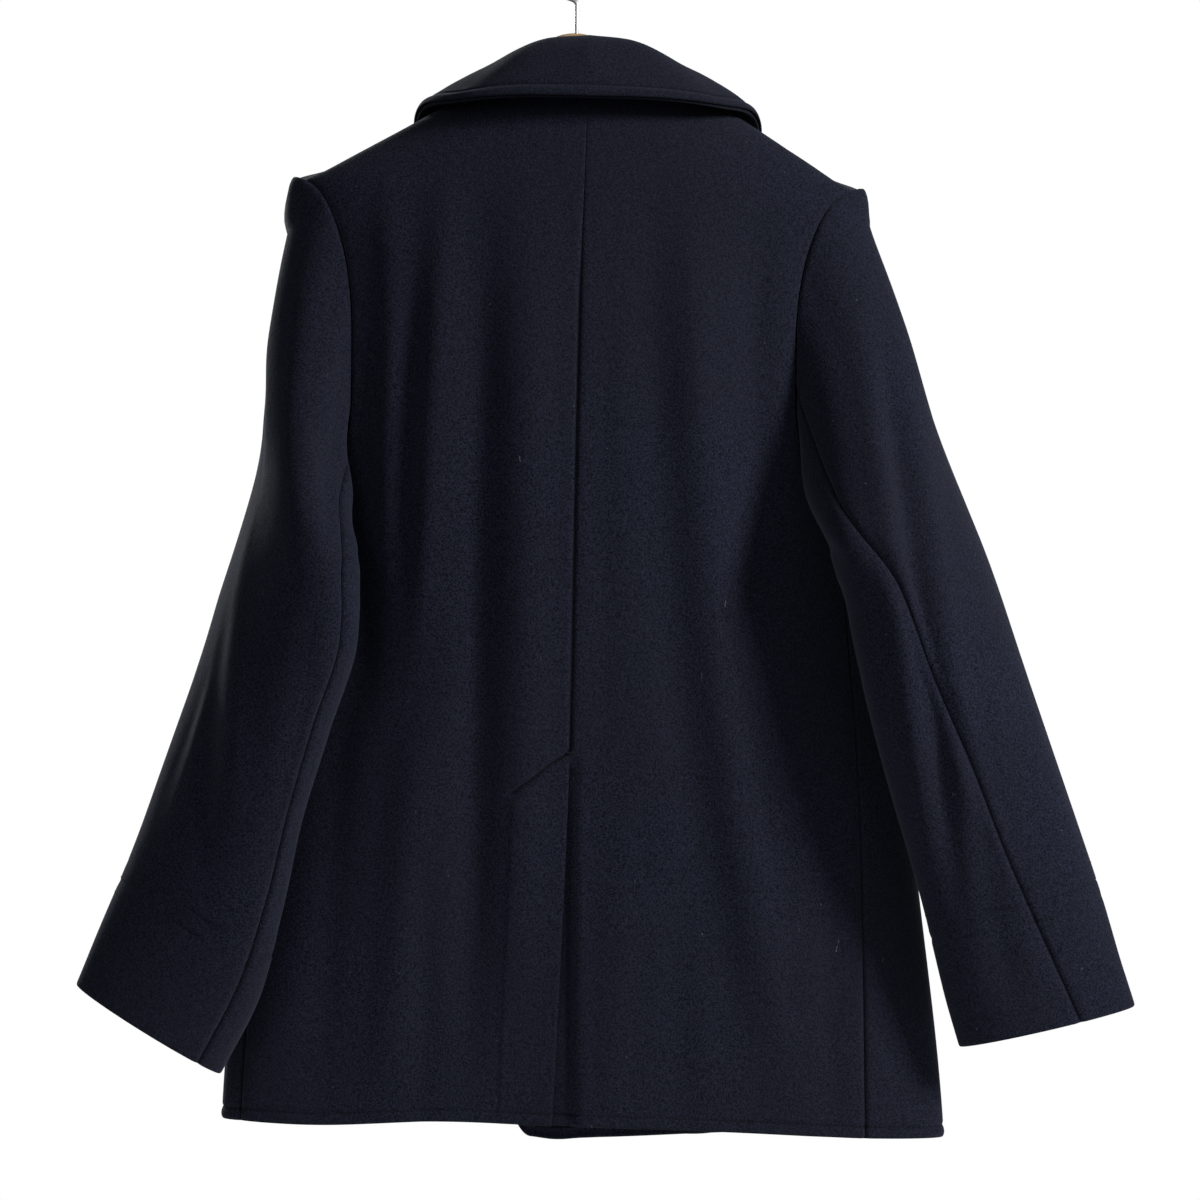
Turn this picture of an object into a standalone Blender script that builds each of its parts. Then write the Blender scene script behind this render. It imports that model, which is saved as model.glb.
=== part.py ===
"""A double-breasted pea coat of thick wool cloth, hung on a wooden hanger by its steel hook.

Metres, +Z up. The origin is the saddle of the hook, where it rests on a rail. The coat's front faces -Y,
its back faces +Y, and the wearer's left is +X. Every panel is a wall of cloth between an outer face and an
inner face, worked out from the body's sections, the sleeves' sections and the collar's sections below.
"""

import math

import bmesh
import bpy
import numpy as np
from mathutils import Vector

# Cloth and seams
WALL = 0.0022  # thickness of the napped wool
HALF_GAP = 0.0002  # half the gap between two pieces at a seam
LAYER_GAP = 0.0006  # clearance between cloth lying on cloth
LAPEL_GAP = 0.0024  # the same under a lapel, which springs from its roll line
ARMHOLE_GAP = 0.0011
SLEEVE_CLEARANCE = 0.0042  # between a sleeve and the body it rests on

# Shoulders and neck
NECK_HALF = 0.075  # from the coat's centre line to the neck end of the shoulder seam
NECK_Z = -0.105
TIP_Z = -0.186  # shoulder end of the shoulder seam
SHOULDER_SLOPE = 0.585  # drop for each metre outwards
BACK_NECK_DROP = 0.013  # centre of the back neck below the neck end of the shoulder seam

# Armholes
UNDERARM_Z = -0.4425
ARM_BACK_X = 0.168  # straight stretch of the armhole, from the centre line
ARM_FRONT_X = 0.160
ARM_ARC_FROM = 0.55  # share of the armhole's height where the upper arc starts
ARM_ARC_TO = 0.35  # share where the lower arc ends
ARM_STEPS = 9  # rows of cloth from the underarm to the shoulder
SEAM_TURN = 0.0006  # a panel's edge stops this short of the seam's own turn round the body
SHOULDER_TURN = 0.9985  # turn of the front's top edge, at the shoulder seam

# Centre back and vent
CENTRE_BACK_X = -0.007
VENT_TOP_Z = -0.614
VENT_SLANT_Z = -0.648
UNDERLAP_X = 0.041
UNDERLAP_DROP = 0.0034  # how far the underlap lies behind the flap's face

# Body sections, from the hem up: centre line, half width, depth at the centre back, at the side and at the
# centre front, and how full the outline is between them
BODY_NAMES = "z shift half_width y_back y_side y_front n_back n_front"
BODY_ROWS = (
    (-0.930, -0.0230, 0.2770, 0.041, 0.000, -0.047, 2.7, 2.8),
    (-0.900, -0.0220, 0.2755, 0.042, -0.002, -0.048, 2.7, 2.8),
    (-0.780, -0.0185, 0.2660, 0.047, -0.012, -0.055, 2.6, 2.7),
    (-0.660, -0.0140, 0.2540, 0.054, -0.026, -0.068, 2.5, 2.6),
    (-0.540, -0.0100, 0.2400, 0.063, -0.044, -0.084, 2.2, 2.6),
    (-0.440, -0.0065, 0.2250, 0.070, -0.044, -0.095, 2.1, 2.5),
    (-0.340, -0.0040, 0.2150, 0.070, -0.028, -0.095, 2.2, 2.4),
    (-0.250, -0.0030, 0.2110, 0.064, -0.012, -0.083, 2.2, 2.3),
    (-0.186, -0.0040, 0.2135, 0.054, -0.004, -0.068, 2.1, 2.2),
    (-0.140, -0.0090, 0.1350, 0.042, -0.004, -0.056, 2.1, 2.1),
    (-0.105, -0.0100, 0.0750, 0.032, -0.004, -0.046, 2.1, 2.1),
    (-0.080, -0.0100, 0.0350, 0.028, -0.004, -0.040, 2.1, 2.1),
)

# Rows of every body panel, as shares of the way from the hem to the underarm's row
LOWER_ROWS = (0.0, 0.055, 0.14, 0.22, 0.285, 0.32, 0.345, 0.365, 0.42, 0.49, 0.56, 0.605)
UNDERARM_ROW = 0.641

# Hems: place across the panel, height
BACK_HEM_NAMES = "x z"
BACK_HEM_ROWS = (
    (-0.300, -0.9040),
    (-0.240, -0.9020),
    (-0.140, -0.8980),
    (0.000, -0.8957),
    (0.080, -0.8945),
    (0.180, -0.9003),
    (0.260, -0.8990),
)
FRONT_HEM_NAMES = "share z"
LEFT_HEM_ROWS = (
    (0.00, -0.8995),
    (0.30, -0.9010),
    (0.60, -0.9045),
    (0.85, -0.9110),
    (0.95, -0.9100),
    (0.98, -0.9070),
    (1.00, -0.8960),
)
RIGHT_HEM_ROWS = (
    (0.00, -0.9020),
    (0.30, -0.9035),
    (0.60, -0.9090),
    (0.85, -0.9155),
    (0.95, -0.9165),
    (0.98, -0.9130),
    (1.00, -0.9010),
)

# Side seams, on the back face: height, place of the left one, of the right one
SIDE_NAMES = "z left right"
SIDE_ROWS = (
    (-0.930, 0.2385, -0.2370),
    (-0.870, 0.2370, -0.2350),
    (-0.740, 0.2290, -0.2308),
    (-0.620, 0.2200, -0.2250),
    (-0.4425, 0.2030, -0.2080),
)

# Front edges, then the roll lines of the lapels above the break: height, left front, right front
EDGE_NAMES = "z left right"
EDGE_ROWS = (
    (-0.930, -0.1470, 0.0300),
    (-0.650, -0.1240, 0.0510),
    (-0.400, -0.1060, 0.0720),
    (-0.385, -0.1040, 0.0730),
    (-0.340, -0.0780, 0.0510),
    (-0.240, -0.0190, -0.0080),
    (-0.142, 0.0420, -0.0650),
    (-0.118, 0.0570, -0.0790),
    (-0.105, 0.0650, -0.0850),
)
BREAK_Z = -0.385

# Front overlap: the left front lies over the right one, and higher where a lapel is between them
OVERLAP_LIFT = 0.0032
LAPEL_LIFT = 0.0044

# Sleeves: share of the length, then the inner and outer end of each section across the arm, the middle's
# place from front to back, the section's depth, its slant, and the angles of the elbow and front seams
SLEEVE_NAMES = "share in_x in_z out_x out_z y depth slant elbow front"
LEFT_SLEEVE_ROWS = (
    (0.00, 0.2050, -0.4425, 0.2095, -0.1860, -0.003, 0.135, 0, 120, 280),
    (0.08, 0.2030, -0.4490, 0.2190, -0.2350, 0.005, 0.140, 5, 118, 278),
    (0.16, 0.1930, -0.4570, 0.2290, -0.2950, 0.018, 0.142, 14, 116, 276),
    (0.24, 0.1740, -0.4700, 0.2355, -0.3550, 0.032, 0.142, 24, 114, 273),
    (0.32, 0.1590, -0.4850, 0.2395, -0.4150, 0.043, 0.140, 32, 112, 271),
    (0.42, 0.1530, -0.5350, 0.2620, -0.5020, 0.053, 0.130, 36, 110, 268),
    (0.54, 0.1705, -0.6000, 0.2810, -0.5640, 0.058, 0.116, 36, 108, 266),
    (0.66, 0.1880, -0.6640, 0.3000, -0.6280, 0.059, 0.102, 34, 110, 264),
    (0.80, 0.2030, -0.7360, 0.3210, -0.6940, 0.056, 0.088, 28, 114, 259),
    (0.92, 0.2230, -0.8060, 0.3440, -0.7540, 0.050, 0.072, 18, 120, 254),
    (1.00, 0.2500, -0.8610, 0.3610, -0.7970, 0.045, 0.060, 8, 128, 249),
)
RIGHT_SLEEVE_ROWS = (
    (0.00, 0.2100, -0.4425, 0.2175, -0.1860, -0.003, 0.135, 0, 100, 280),
    (0.08, 0.2060, -0.4480, 0.2330, -0.2280, 0.005, 0.140, 5, 100, 278),
    (0.16, 0.1980, -0.4540, 0.2520, -0.2800, 0.017, 0.142, 12, 99, 276),
    (0.24, 0.1900, -0.4600, 0.2730, -0.3400, 0.028, 0.140, 18, 97, 273),
    (0.32, 0.1880, -0.4660, 0.2950, -0.3980, 0.038, 0.134, 22, 93, 271),
    (0.42, 0.2080, -0.4960, 0.3170, -0.4550, 0.046, 0.122, 22, 86, 268),
    (0.54, 0.2270, -0.5680, 0.3430, -0.5300, 0.048, 0.108, 20, 80, 266),
    (0.66, 0.2460, -0.6340, 0.3660, -0.5930, 0.046, 0.096, 16, 76, 264),
    (0.80, 0.2680, -0.7080, 0.3920, -0.6660, 0.042, 0.082, 12, 74, 259),
    (0.92, 0.2880, -0.7760, 0.4170, -0.7350, 0.036, 0.068, 6, 72, 254),
    (1.00, 0.3050, -0.8310, 0.4370, -0.7970, 0.032, 0.058, 0, 70, 249),
)
SLEEVE_SHARES = (0.0, 0.035, 0.08, 0.14, 0.21, 0.29, 0.37, 0.46, 0.57, 0.68, 0.80, 0.91, 1.0)
SEAM_INDEX = {"left": (6, 14), "right": (5, 14)}  # columns of the elbow seam and of the front seam

# Collar, half of it from the centre back to its front end: share of the half, neck seam, fold, outer edge
COLLAR_X = -0.010
COLLAR_NAMES = "share nx ny nz fx fy fz ex ey ez"
COLLAR_ROWS = (
    (0.00, 0.000, 0.031, -0.1150, 0.000, 0.031, -0.0762, 0.000, 0.066, -0.1245),
    (0.20, 0.032, 0.027, -0.1125, 0.030, 0.026, -0.0785, 0.054, 0.062, -0.1245),
    (0.40, 0.056, 0.014, -0.1070, 0.047, 0.010, -0.0850, 0.100, 0.045, -0.1270),
    (0.58, 0.066, -0.006, -0.1020, 0.053, -0.012, -0.0930, 0.127, 0.006, -0.1285),
    (0.78, 0.062, -0.034, -0.1150, 0.052, -0.042, -0.1090, 0.133, -0.054, -0.1500),
    (1.00, 0.052, -0.062, -0.1460, 0.046, -0.068, -0.1400, 0.118, -0.080, -0.1960),
)
COLLAR_STEPS = 22
FOLD_RADIUS = 0.0065

# Lapels: outer corner and gorge, from the collar's front end
LAPEL_TIP = (0.128, -0.232)  # from COLLAR_X, height
LAPEL_BULGE = 0.012
GORGE_SHARE = 0.55  # how much of the collar's end is sewn to the lapel
RIGHT_LAPEL_FROM = 0.3  # the right lapel shows above this share of its roll line

# Pocket welts: place of the middle on the front, length, width, lean
WELT_X = {"left": 0.150, "right": -0.185}
WELT_Z = -0.600
WELT_LENGTH = 0.165
WELT_WIDTH = 0.028
WELT_LEAN = math.radians(8)
WELT_THICKNESS = 0.003

# Buttons
BUTTON_RADIUS = 0.0165
BUTTON_STANDOFF = 0.0008
BUTTON_STEPS = 20
BUTTON_ROW_Z = (-0.405, -0.520, -0.635)
BUTTON_FROM_EDGE = 0.028
BUTTON_SPACING = 0.145

# Hanger
HANGER_NECK_Z = -0.068
WIRE_RADIUS = 0.0017
HOOK_RADIUS = 0.0205

COLLECTION = bpy.data.collections.new("Pea coat on a hanger")


def clear_scene():
    for thing in list(bpy.data.objects):
        bpy.data.objects.remove(thing, do_unlink=True)
    bpy.context.scene.collection.children.link(COLLECTION)


def material(name, colour, roughness, metallic=0.0):
    made = bpy.data.materials.new(name)
    made.use_nodes = True
    shader = made.node_tree.nodes["Principled BSDF"]
    shader.inputs["Base Color"].default_value = (*colour, 1.0)
    shader.inputs["Roughness"].default_value = roughness
    shader.inputs["Metallic"].default_value = metallic
    return made


def add_object(name, mesh, finish):
    made = bpy.data.objects.new(name, mesh)
    COLLECTION.objects.link(made)
    mesh.materials.append(finish)
    return made


def table(names, rows):
    return dict(zip(names.split(), np.array(rows, float).T))


def read(columns, name, at):
    """The named column at places in the first column, on a cubic through the rows."""
    places = next(iter(columns.values()))
    values = columns[name]
    slopes = np.gradient(values, places)
    at = np.asarray(at, float)
    i = np.clip(np.searchsorted(places, at, side="right") - 1, 0, len(places) - 2)
    step = places[i + 1] - places[i]
    t = np.clip((at - places[i]) / step, 0, 1)
    return (
        (1 + 2 * t) * (1 - t) ** 2 * values[i]
        + t * (1 - t) ** 2 * step * slopes[i]
        + t**2 * (3 - 2 * t) * values[i + 1]
        + t**2 * (t - 1) * step * slopes[i + 1]
    )


def smooth(t):
    t = np.clip(t, 0, 1)
    return t * t * (3 - 2 * t)


BODY = table(BODY_NAMES, BODY_ROWS)
BACK_HEM = table(BACK_HEM_NAMES, BACK_HEM_ROWS)
FRONT_HEM = {
    "left": table(FRONT_HEM_NAMES, LEFT_HEM_ROWS),
    "right": table(FRONT_HEM_NAMES, RIGHT_HEM_ROWS),
}
SIDE = table(SIDE_NAMES, SIDE_ROWS)
EDGE = table(EDGE_NAMES, EDGE_ROWS)
SLEEVE = {
    "left": table(SLEEVE_NAMES, LEFT_SLEEVE_ROWS),
    "right": table(SLEEVE_NAMES, RIGHT_SLEEVE_ROWS),
}
COLLAR = table(COLLAR_NAMES, COLLAR_ROWS)
SIGN = {"left": 1.0, "right": -1.0}


# The body's surface


def half_width(z):
    """Half the body's width: from the sections up to the shoulder, then to the shoulder line."""
    on_shoulder = NECK_HALF + (NECK_Z - z) / SHOULDER_SLOPE
    return np.where(z > TIP_Z, on_shoulder, read(BODY, "half_width", z))


def quarter(face, z):
    """x, y and share of the length of a quarter of the body's outline, from its centre to its side."""
    t = (1 - np.cos(np.linspace(0, np.pi, 60))) * np.pi / 4
    power = 2 / read(BODY, "n_" + face, z)[..., None]
    y_side = read(BODY, "y_side", z)[..., None]
    y_face = read(BODY, "y_" + face, z)[..., None]
    x = half_width(z)[..., None] * np.sin(t) ** power
    y = y_side + (y_face - y_side) * np.abs(np.cos(t)) ** power
    steps = np.hypot(np.diff(x), np.diff(y))
    run = np.concatenate([np.zeros_like(x[..., :1]), np.cumsum(steps, axis=-1)], axis=-1)
    return x, y, run / run[..., -1:]


def between(values, places, at):
    """values at the given places, row by row."""
    i = np.clip((places <= at[..., None]).sum(-1) - 1, 0, places.shape[-1] - 2)[..., None]
    low = np.take_along_axis(places, i, -1)[..., 0]
    high = np.take_along_axis(places, i + 1, -1)[..., 0]
    first = np.take_along_axis(values, i, -1)[..., 0]
    last = np.take_along_axis(values, i + 1, -1)[..., 0]
    return first + (last - first) * np.clip((at - low) / (high - low + 1e-12), 0, 1)


def round_body(side, turn, z):
    """Points of the body: turn 0 is the centre front, 1 the side and 2 the centre back, by length."""
    turn, z = np.broadcast_arrays(np.asarray(turn, float), np.asarray(z, float))
    fx, fy, f_run = quarter("front", z)
    bx, by, b_run = quarter("back", z)
    in_front = turn <= 1
    front_share = np.clip(np.abs(turn), 0, 1)
    back_share = np.clip(2 - turn, 0, 1)
    x = np.where(in_front, np.sign(turn) * between(fx, f_run, front_share), between(bx, b_run, back_share))
    y = np.where(in_front, between(fy, f_run, front_share), between(by, b_run, back_share))
    return np.stack([read(BODY, "shift", z) + SIGN[side] * x, y, z], axis=-1)


def turn_at(side, face, x, z):
    """The turn at which the front or the back of the body has this x."""
    x, z = np.broadcast_arrays(np.asarray(x, float), np.asarray(z, float))
    out = SIGN[side] * (x - read(BODY, "shift", z))
    places, _, run = quarter(face, z)
    share = between(run, places, np.abs(out))
    return np.sign(out) * share if face == "front" else 2 - share


def on_face(face, x, z):
    """Points of the body's front or back at these x and z."""
    x, z = np.broadcast_arrays(np.asarray(x, float), np.asarray(z, float))
    power = read(BODY, "n_" + face, z)
    share = np.clip(np.abs(x - read(BODY, "shift", z)) / half_width(z), 0, 1)
    y_side = read(BODY, "y_side", z)
    y = y_side + (read(BODY, "y_" + face, z) - y_side) * (1 - share**power) ** (1 / power)
    return np.stack([x, y, z], axis=-1)


def body_level(x, y, z):
    """0 on the body's surface, above it outside: the sections' own formula."""
    y_side = read(BODY, "y_side", z)
    behind = y > y_side
    power = np.where(behind, read(BODY, "n_back", z), read(BODY, "n_front", z))
    y_face = np.where(behind, read(BODY, "y_back", z), read(BODY, "y_front", z))
    across = np.abs(x - read(BODY, "shift", z)) / half_width(z)
    through = np.abs((y - y_side) / (y_face - y_side))
    return across**power + through**power


def body_slope(points):
    """How body_level changes along x, y and z."""
    x, y, z = points[..., 0], points[..., 1], points[..., 2]
    step = 2e-5
    changes = (
        body_level(x + step, y, z) - body_level(x - step, y, z),
        body_level(x, y + step, z) - body_level(x, y - step, z),
        body_level(x, y, z + step) - body_level(x, y, z - step),
    )
    return np.stack(changes, axis=-1) / (2 * step)


def body_normal(points):
    slope = body_slope(points)
    return slope / np.linalg.norm(slope, axis=-1, keepdims=True)


def clear_of_body(points, gap):
    """Moves points that are nearer to the body's surface than the gap, or inside it, straight out of it."""
    for _ in range(5):
        slope = body_slope(points)
        steepness = np.linalg.norm(slope, axis=-1)
        distance = (body_level(points[..., 0], points[..., 1], points[..., 2]) - 1) / steepness
        short = np.clip(gap - distance, 0, 0.03)
        points = points + slope / steepness[..., None] * short[..., None]
    return points


# The outlines of the body's panels


def armhole_turn(side, face, height):
    """Turn of the armhole's back or front edge at a share of its height above the underarm."""
    z = UNDERARM_Z + height * (TIP_Z - UNDERARM_Z)
    straight = ARM_BACK_X if face == "back" else ARM_FRONT_X
    shift = read(BODY, "shift", z)
    tip = half_width(np.array(TIP_Z))
    rise = np.clip((height - ARM_ARC_FROM) / (1 - ARM_ARC_FROM), 0, 1)
    out = straight + (tip - straight) * (1 - np.sqrt(1 - rise**2))
    upper = turn_at(side, face, shift + SIGN[side] * out, z)
    corner_z = UNDERARM_Z + ARM_ARC_TO * (TIP_Z - UNDERARM_Z)
    corner = turn_at(side, face, read(BODY, "shift", corner_z) + SIGN[side] * straight, corner_z)
    seam = turn_at(side, "back", read(SIDE, side, UNDERARM_Z), UNDERARM_Z)
    drop = np.clip((ARM_ARC_TO - height) / ARM_ARC_TO, 0, 1)
    lower = seam + (corner - seam) * np.sqrt(1 - drop**2)
    return np.where(height < ARM_ARC_TO, lower, np.where(height >= 1, 1.0, upper))


def side_turn(side, face, z):
    """Turn of a panel's outer edge: the side seam, then the armhole."""
    height = (z - UNDERARM_Z) / (TIP_Z - UNDERARM_Z)
    seam = turn_at(side, "back", read(SIDE, side, z), z)
    return np.where(height > 0, armhole_turn(side, face, np.clip(height, 0, 1)), seam)


def panel_rows():
    arm = UNDERARM_ROW + (1 - UNDERARM_ROW) * (1 - np.cos(np.pi * np.arange(ARM_STEPS + 1) / ARM_STEPS)) / 2
    return np.concatenate([LOWER_ROWS, arm])


def side_heights(side):
    """Heights of the rows at the side seam and armhole, where the back and the front are sewn together."""
    hem = read(BACK_HEM, "z", read(SIDE, side, -0.9))
    rows = panel_rows()
    below = hem + (UNDERARM_Z - hem) * rows / UNDERARM_ROW
    above = UNDERARM_Z + (TIP_Z - UNDERARM_Z) * (rows - UNDERARM_ROW) / (1 - UNDERARM_ROW)
    return np.where(rows < UNDERARM_ROW, below, above)


def back_centre(side, z):
    """Inner edge of a back: the centre seam, and on the right the vent's underlap below it."""
    if side == "left":
        return CENTRE_BACK_X + HALF_GAP + 0 * z
    slant = np.clip((VENT_TOP_Z - z) / (VENT_TOP_Z - VENT_SLANT_Z), 0, 1)
    return CENTRE_BACK_X - HALF_GAP + (UNDERLAP_X - CENTRE_BACK_X) * slant


def back_panel(side):
    """Rows from the hem up, columns from the centre seam out. The top row is the neck, then the shoulder."""
    tip_half = half_width(np.array(TIP_Z))
    neck_column = NECK_HALF / tip_half
    across = np.concatenate([np.linspace(0, neck_column, 6), np.linspace(neck_column, 1, 9)[1:]])
    rows = panel_rows()[:, None]
    out = np.clip((across - neck_column) / (1 - neck_column), 0, 1)
    neck = np.clip(across / neck_column, 0, 1)
    top_z = NECK_Z + out * (TIP_Z - NECK_Z) - BACK_NECK_DROP * smooth(1 - neck)
    top_half = np.where(across < neck_column, NECK_HALF * neck, half_width(top_z))
    top_x = read(BODY, "shift", top_z) + SIGN[side] * top_half
    top_x[0] = back_centre(side, top_z[0])
    outer_z = side_heights(side)[:, None]
    outer_x = round_body(side, side_turn(side, "back", outer_z) + SEAM_TURN, outer_z)[..., 0]
    hem_z = read(BACK_HEM, "z", CENTRE_BACK_X + across * (outer_x[0] - CENTRE_BACK_X))
    side_rows = (outer_z - outer_z[0]) / (outer_z[-1] - outer_z[0])
    share = rows + (side_rows - rows) * across
    z = hem_z + share * (top_z - hem_z)
    inner_x = back_centre(side, z[:, :1])
    x = inner_x + across * (outer_x - inner_x)
    x = x + (top_x - x[-1]) * smooth(share * 4 - 3)
    z = z - (HALF_GAP + 0.0001) * (share > 0.999)
    points = on_face("back", x, z)
    if side == "right":
        normal = body_normal(points)
        under = smooth((points[..., 0] - CENTRE_BACK_X + 0.024) / 0.018)
        below = smooth((VENT_TOP_Z + 0.022 - points[..., 2]) / 0.02)
        points = points - normal * (UNDERLAP_DROP * under * below)[..., None]
    return points


def front_panel(side):
    across = np.linspace(0, 1, 17) ** 0.92
    rows = panel_rows()[:, None]
    top_z = TIP_Z + across * (NECK_Z - TIP_Z)
    outer_z = side_heights(side)[:, None]
    hem_z = read(FRONT_HEM[side], "z", across)
    side_rows = (outer_z - outer_z[0]) / (outer_z[-1] - outer_z[0])
    share = rows + (side_rows - rows) * (1 - across)
    z = hem_z + (outer_z[0] - hem_z[0]) * (1 - across) + share * (top_z - hem_z)
    z[:, 0] = outer_z[:, 0]
    outer = side_turn(side, "front", z[:, :1]) - SEAM_TURN
    edge_x = read(EDGE, side, z[:, -1:])
    inner = turn_at(side, "front", edge_x, z[:, -1:])
    turn = outer + across * (inner - outer)
    turn[-1] = SHOULDER_TURN
    points = round_body(side, turn, z)
    if side == "left":
        points = points + body_normal(points) * overlap_lift(points)[..., None]
    return points


def overlap_lift(points):
    """How far the left front lies outside the body's surface, to clear the right front and its lapel."""
    x, y, z = points[..., 0], points[..., 1], points[..., 2]
    edge = read(EDGE, "right", z)
    height = OVERLAP_LIFT + LAPEL_LIFT * smooth((z + 0.39) / 0.05) * (1 - smooth((z + 0.19) / 0.04))
    edge = np.where(z > -0.24, np.maximum(edge, -0.005), edge)
    return height * smooth((edge + 0.045 - x) / 0.035) * (y < 0) * (1 - smooth((z + 0.155) / 0.03))


# Walls of cloth


def wall(name, outer, inner, finish):
    """A closed solid between two grids of points, with its rim."""
    rows, columns = outer.shape[:2]
    number = np.arange(rows * columns).reshape(rows, columns)
    quads = np.stack([number[:-1, :-1], number[:-1, 1:], number[1:, 1:], number[1:, :-1]], axis=-1)
    quads = quads.reshape(-1, 4)
    around = np.concatenate([number[0, :], number[1:, -1], number[-1, -2::-1], number[-2:0:-1, 0]])
    after = np.roll(around, -1)
    size = rows * columns
    rim = np.stack([after, around, around + size, after + size], axis=-1)
    faces = np.concatenate([quads, quads[:, ::-1] + size, rim])
    points = np.concatenate([outer.reshape(-1, 3), inner.reshape(-1, 3)])
    mesh = bpy.data.meshes.new(name)
    mesh.from_pydata(points.tolist(), [], faces.tolist())
    bm = bmesh.new()
    bm.from_mesh(mesh)
    if bm.calc_volume(signed=True) < 0:
        bmesh.ops.reverse_faces(bm, faces=bm.faces)
    bmesh.ops.triangulate(bm, faces=bm.faces)
    bm.to_mesh(mesh)
    bm.free()
    mesh.set_sharp_from_angle(angle=math.radians(40))
    return add_object(name, mesh, finish)


def add_body(finish):
    for side in SIGN:
        for name, points in (("back_", back_panel(side)), ("front_", front_panel(side))):
            wall(name + side, points, points - body_normal(points) * WALL, finish)


# Sleeves


def armhole_ring(side):
    """The armhole seam, from the shoulder down the back, under the arm and up the front."""
    angle = 2 * np.pi * np.arange(2 * ARM_STEPS) / (2 * ARM_STEPS)
    height = (1 + np.cos(angle)) / 2
    z = UNDERARM_Z + height * (TIP_Z - UNDERARM_Z)
    behind = np.sin(angle) >= 0
    turn = np.where(behind, armhole_turn(side, "back", height), armhole_turn(side, "front", height))
    return round_body(side, turn, z)


def sleeve_section(side, share, angle):
    """A slanted oval across the arm. Angle 0 is its outer end, 90 its back, 180 its inner end."""
    value = {name: read(SLEEVE[side], name, share) for name in SLEEVE[side]}
    sign = SIGN[side]
    middle_x = (value["in_x"] + value["out_x"]) / 2
    middle_z = (value["in_z"] + value["out_z"]) / 2
    half_x = (value["out_x"] - value["in_x"]) / 2
    half_z = (value["out_z"] - value["in_z"]) / 2
    reach = np.cos(angle + np.radians(value["slant"]))
    return np.stack(
        [
            sign * (middle_x + half_x * reach),
            value["y"] + value["depth"] / 2 * np.sin(angle),
            middle_z + half_z * reach,
        ],
        axis=-1,
    )


def sleeve_angles(side, share):
    """Angles of the columns: even at the armhole, then drawn to the two seams' own angles."""
    elbow_at, front_at = SEAM_INDEX[side]
    count = 2 * ARM_STEPS
    even = np.arange(count) * 360 / count
    elbow = read(SLEEVE[side], "elbow", share)
    front = read(SLEEVE[side], "front", share)
    drawn = np.stack(
        [
            np.interp(even, [0, even[elbow_at], even[front_at], 360], [0, e, f, 360])
            for e, f in zip(elbow.ravel(), front.ravel())
        ]
    )
    return np.radians(drawn)


def sleeve_grid(side):
    """All of a sleeve's outer face, a row for each section and a column for each point round the arm."""
    share = np.array(SLEEVE_SHARES)[:, None]
    angle = sleeve_angles(side, share)
    points = sleeve_section(side, share, angle)
    ring = armhole_ring(side)
    fade = (1 - smooth(share / 0.36))[..., None]
    points = points + (ring - points[0]) * fade
    centre = ring.mean(axis=0)
    points[1:] = clear_of_body(points[1:], SLEEVE_CLEARANCE * (2 - smooth(share[1:] / 0.2)))
    lowness = smooth((ring[:, 2].mean() - ring[:, 2]) / 0.1)[:, None]
    points[0] = ring + (centre - ring) / np.linalg.norm(centre - ring, axis=-1, keepdims=True) * ARMHOLE_GAP
    points[0] += body_normal(ring) * SLEEVE_CLEARANCE * lowness
    return points


def grid_normal(points, side):
    """Normals of a closed tube of points, facing out."""
    along = np.gradient(points, axis=0)
    round_it = np.roll(points, -1, axis=1) - np.roll(points, 1, axis=1)
    normal = np.cross(along, round_it) * SIGN[side]
    return normal / np.linalg.norm(normal, axis=-1, keepdims=True)


def add_sleeves(finish):
    for side in SIGN:
        outer = sleeve_grid(side)
        normal = grid_normal(outer, side)
        inward = outer.mean(axis=1, keepdims=True) - outer
        if (normal * inward).sum() > 0:
            normal = -normal
        centre = outer[0].mean(axis=0)
        normal[0] = outer[0] - centre
        normal[0] /= np.linalg.norm(normal[0], axis=-1, keepdims=True)
        elbow, front = SEAM_INDEX[side]
        count = outer.shape[1]
        for name, first, last in (("under_sleeve_", elbow, front), ("top_sleeve_", front, elbow + count)):
            columns = np.arange(first, last + 1) % count
            face = outer[:, columns].copy()
            for end, nearby in ((0, 1), (-1, -2)):
                edge = face[:, nearby] - face[:, end]
                edge /= np.linalg.norm(edge, axis=-1, keepdims=True)
                face[:, end] += edge * HALF_GAP
            wall(name + side, face, face - normal[:, columns] * WALL, finish)


# Collar and lapels


def collar_half(share):
    value = {name: read(COLLAR, name, share) for name in COLLAR}
    neck = np.stack([value["nx"], value["ny"], value["nz"]], axis=-1)
    fold = np.stack([value["fx"], value["fy"], value["fz"]], axis=-1)
    edge = np.stack([value["ex"], value["ey"], value["ez"]], axis=-1)
    return neck, fold, edge


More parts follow.
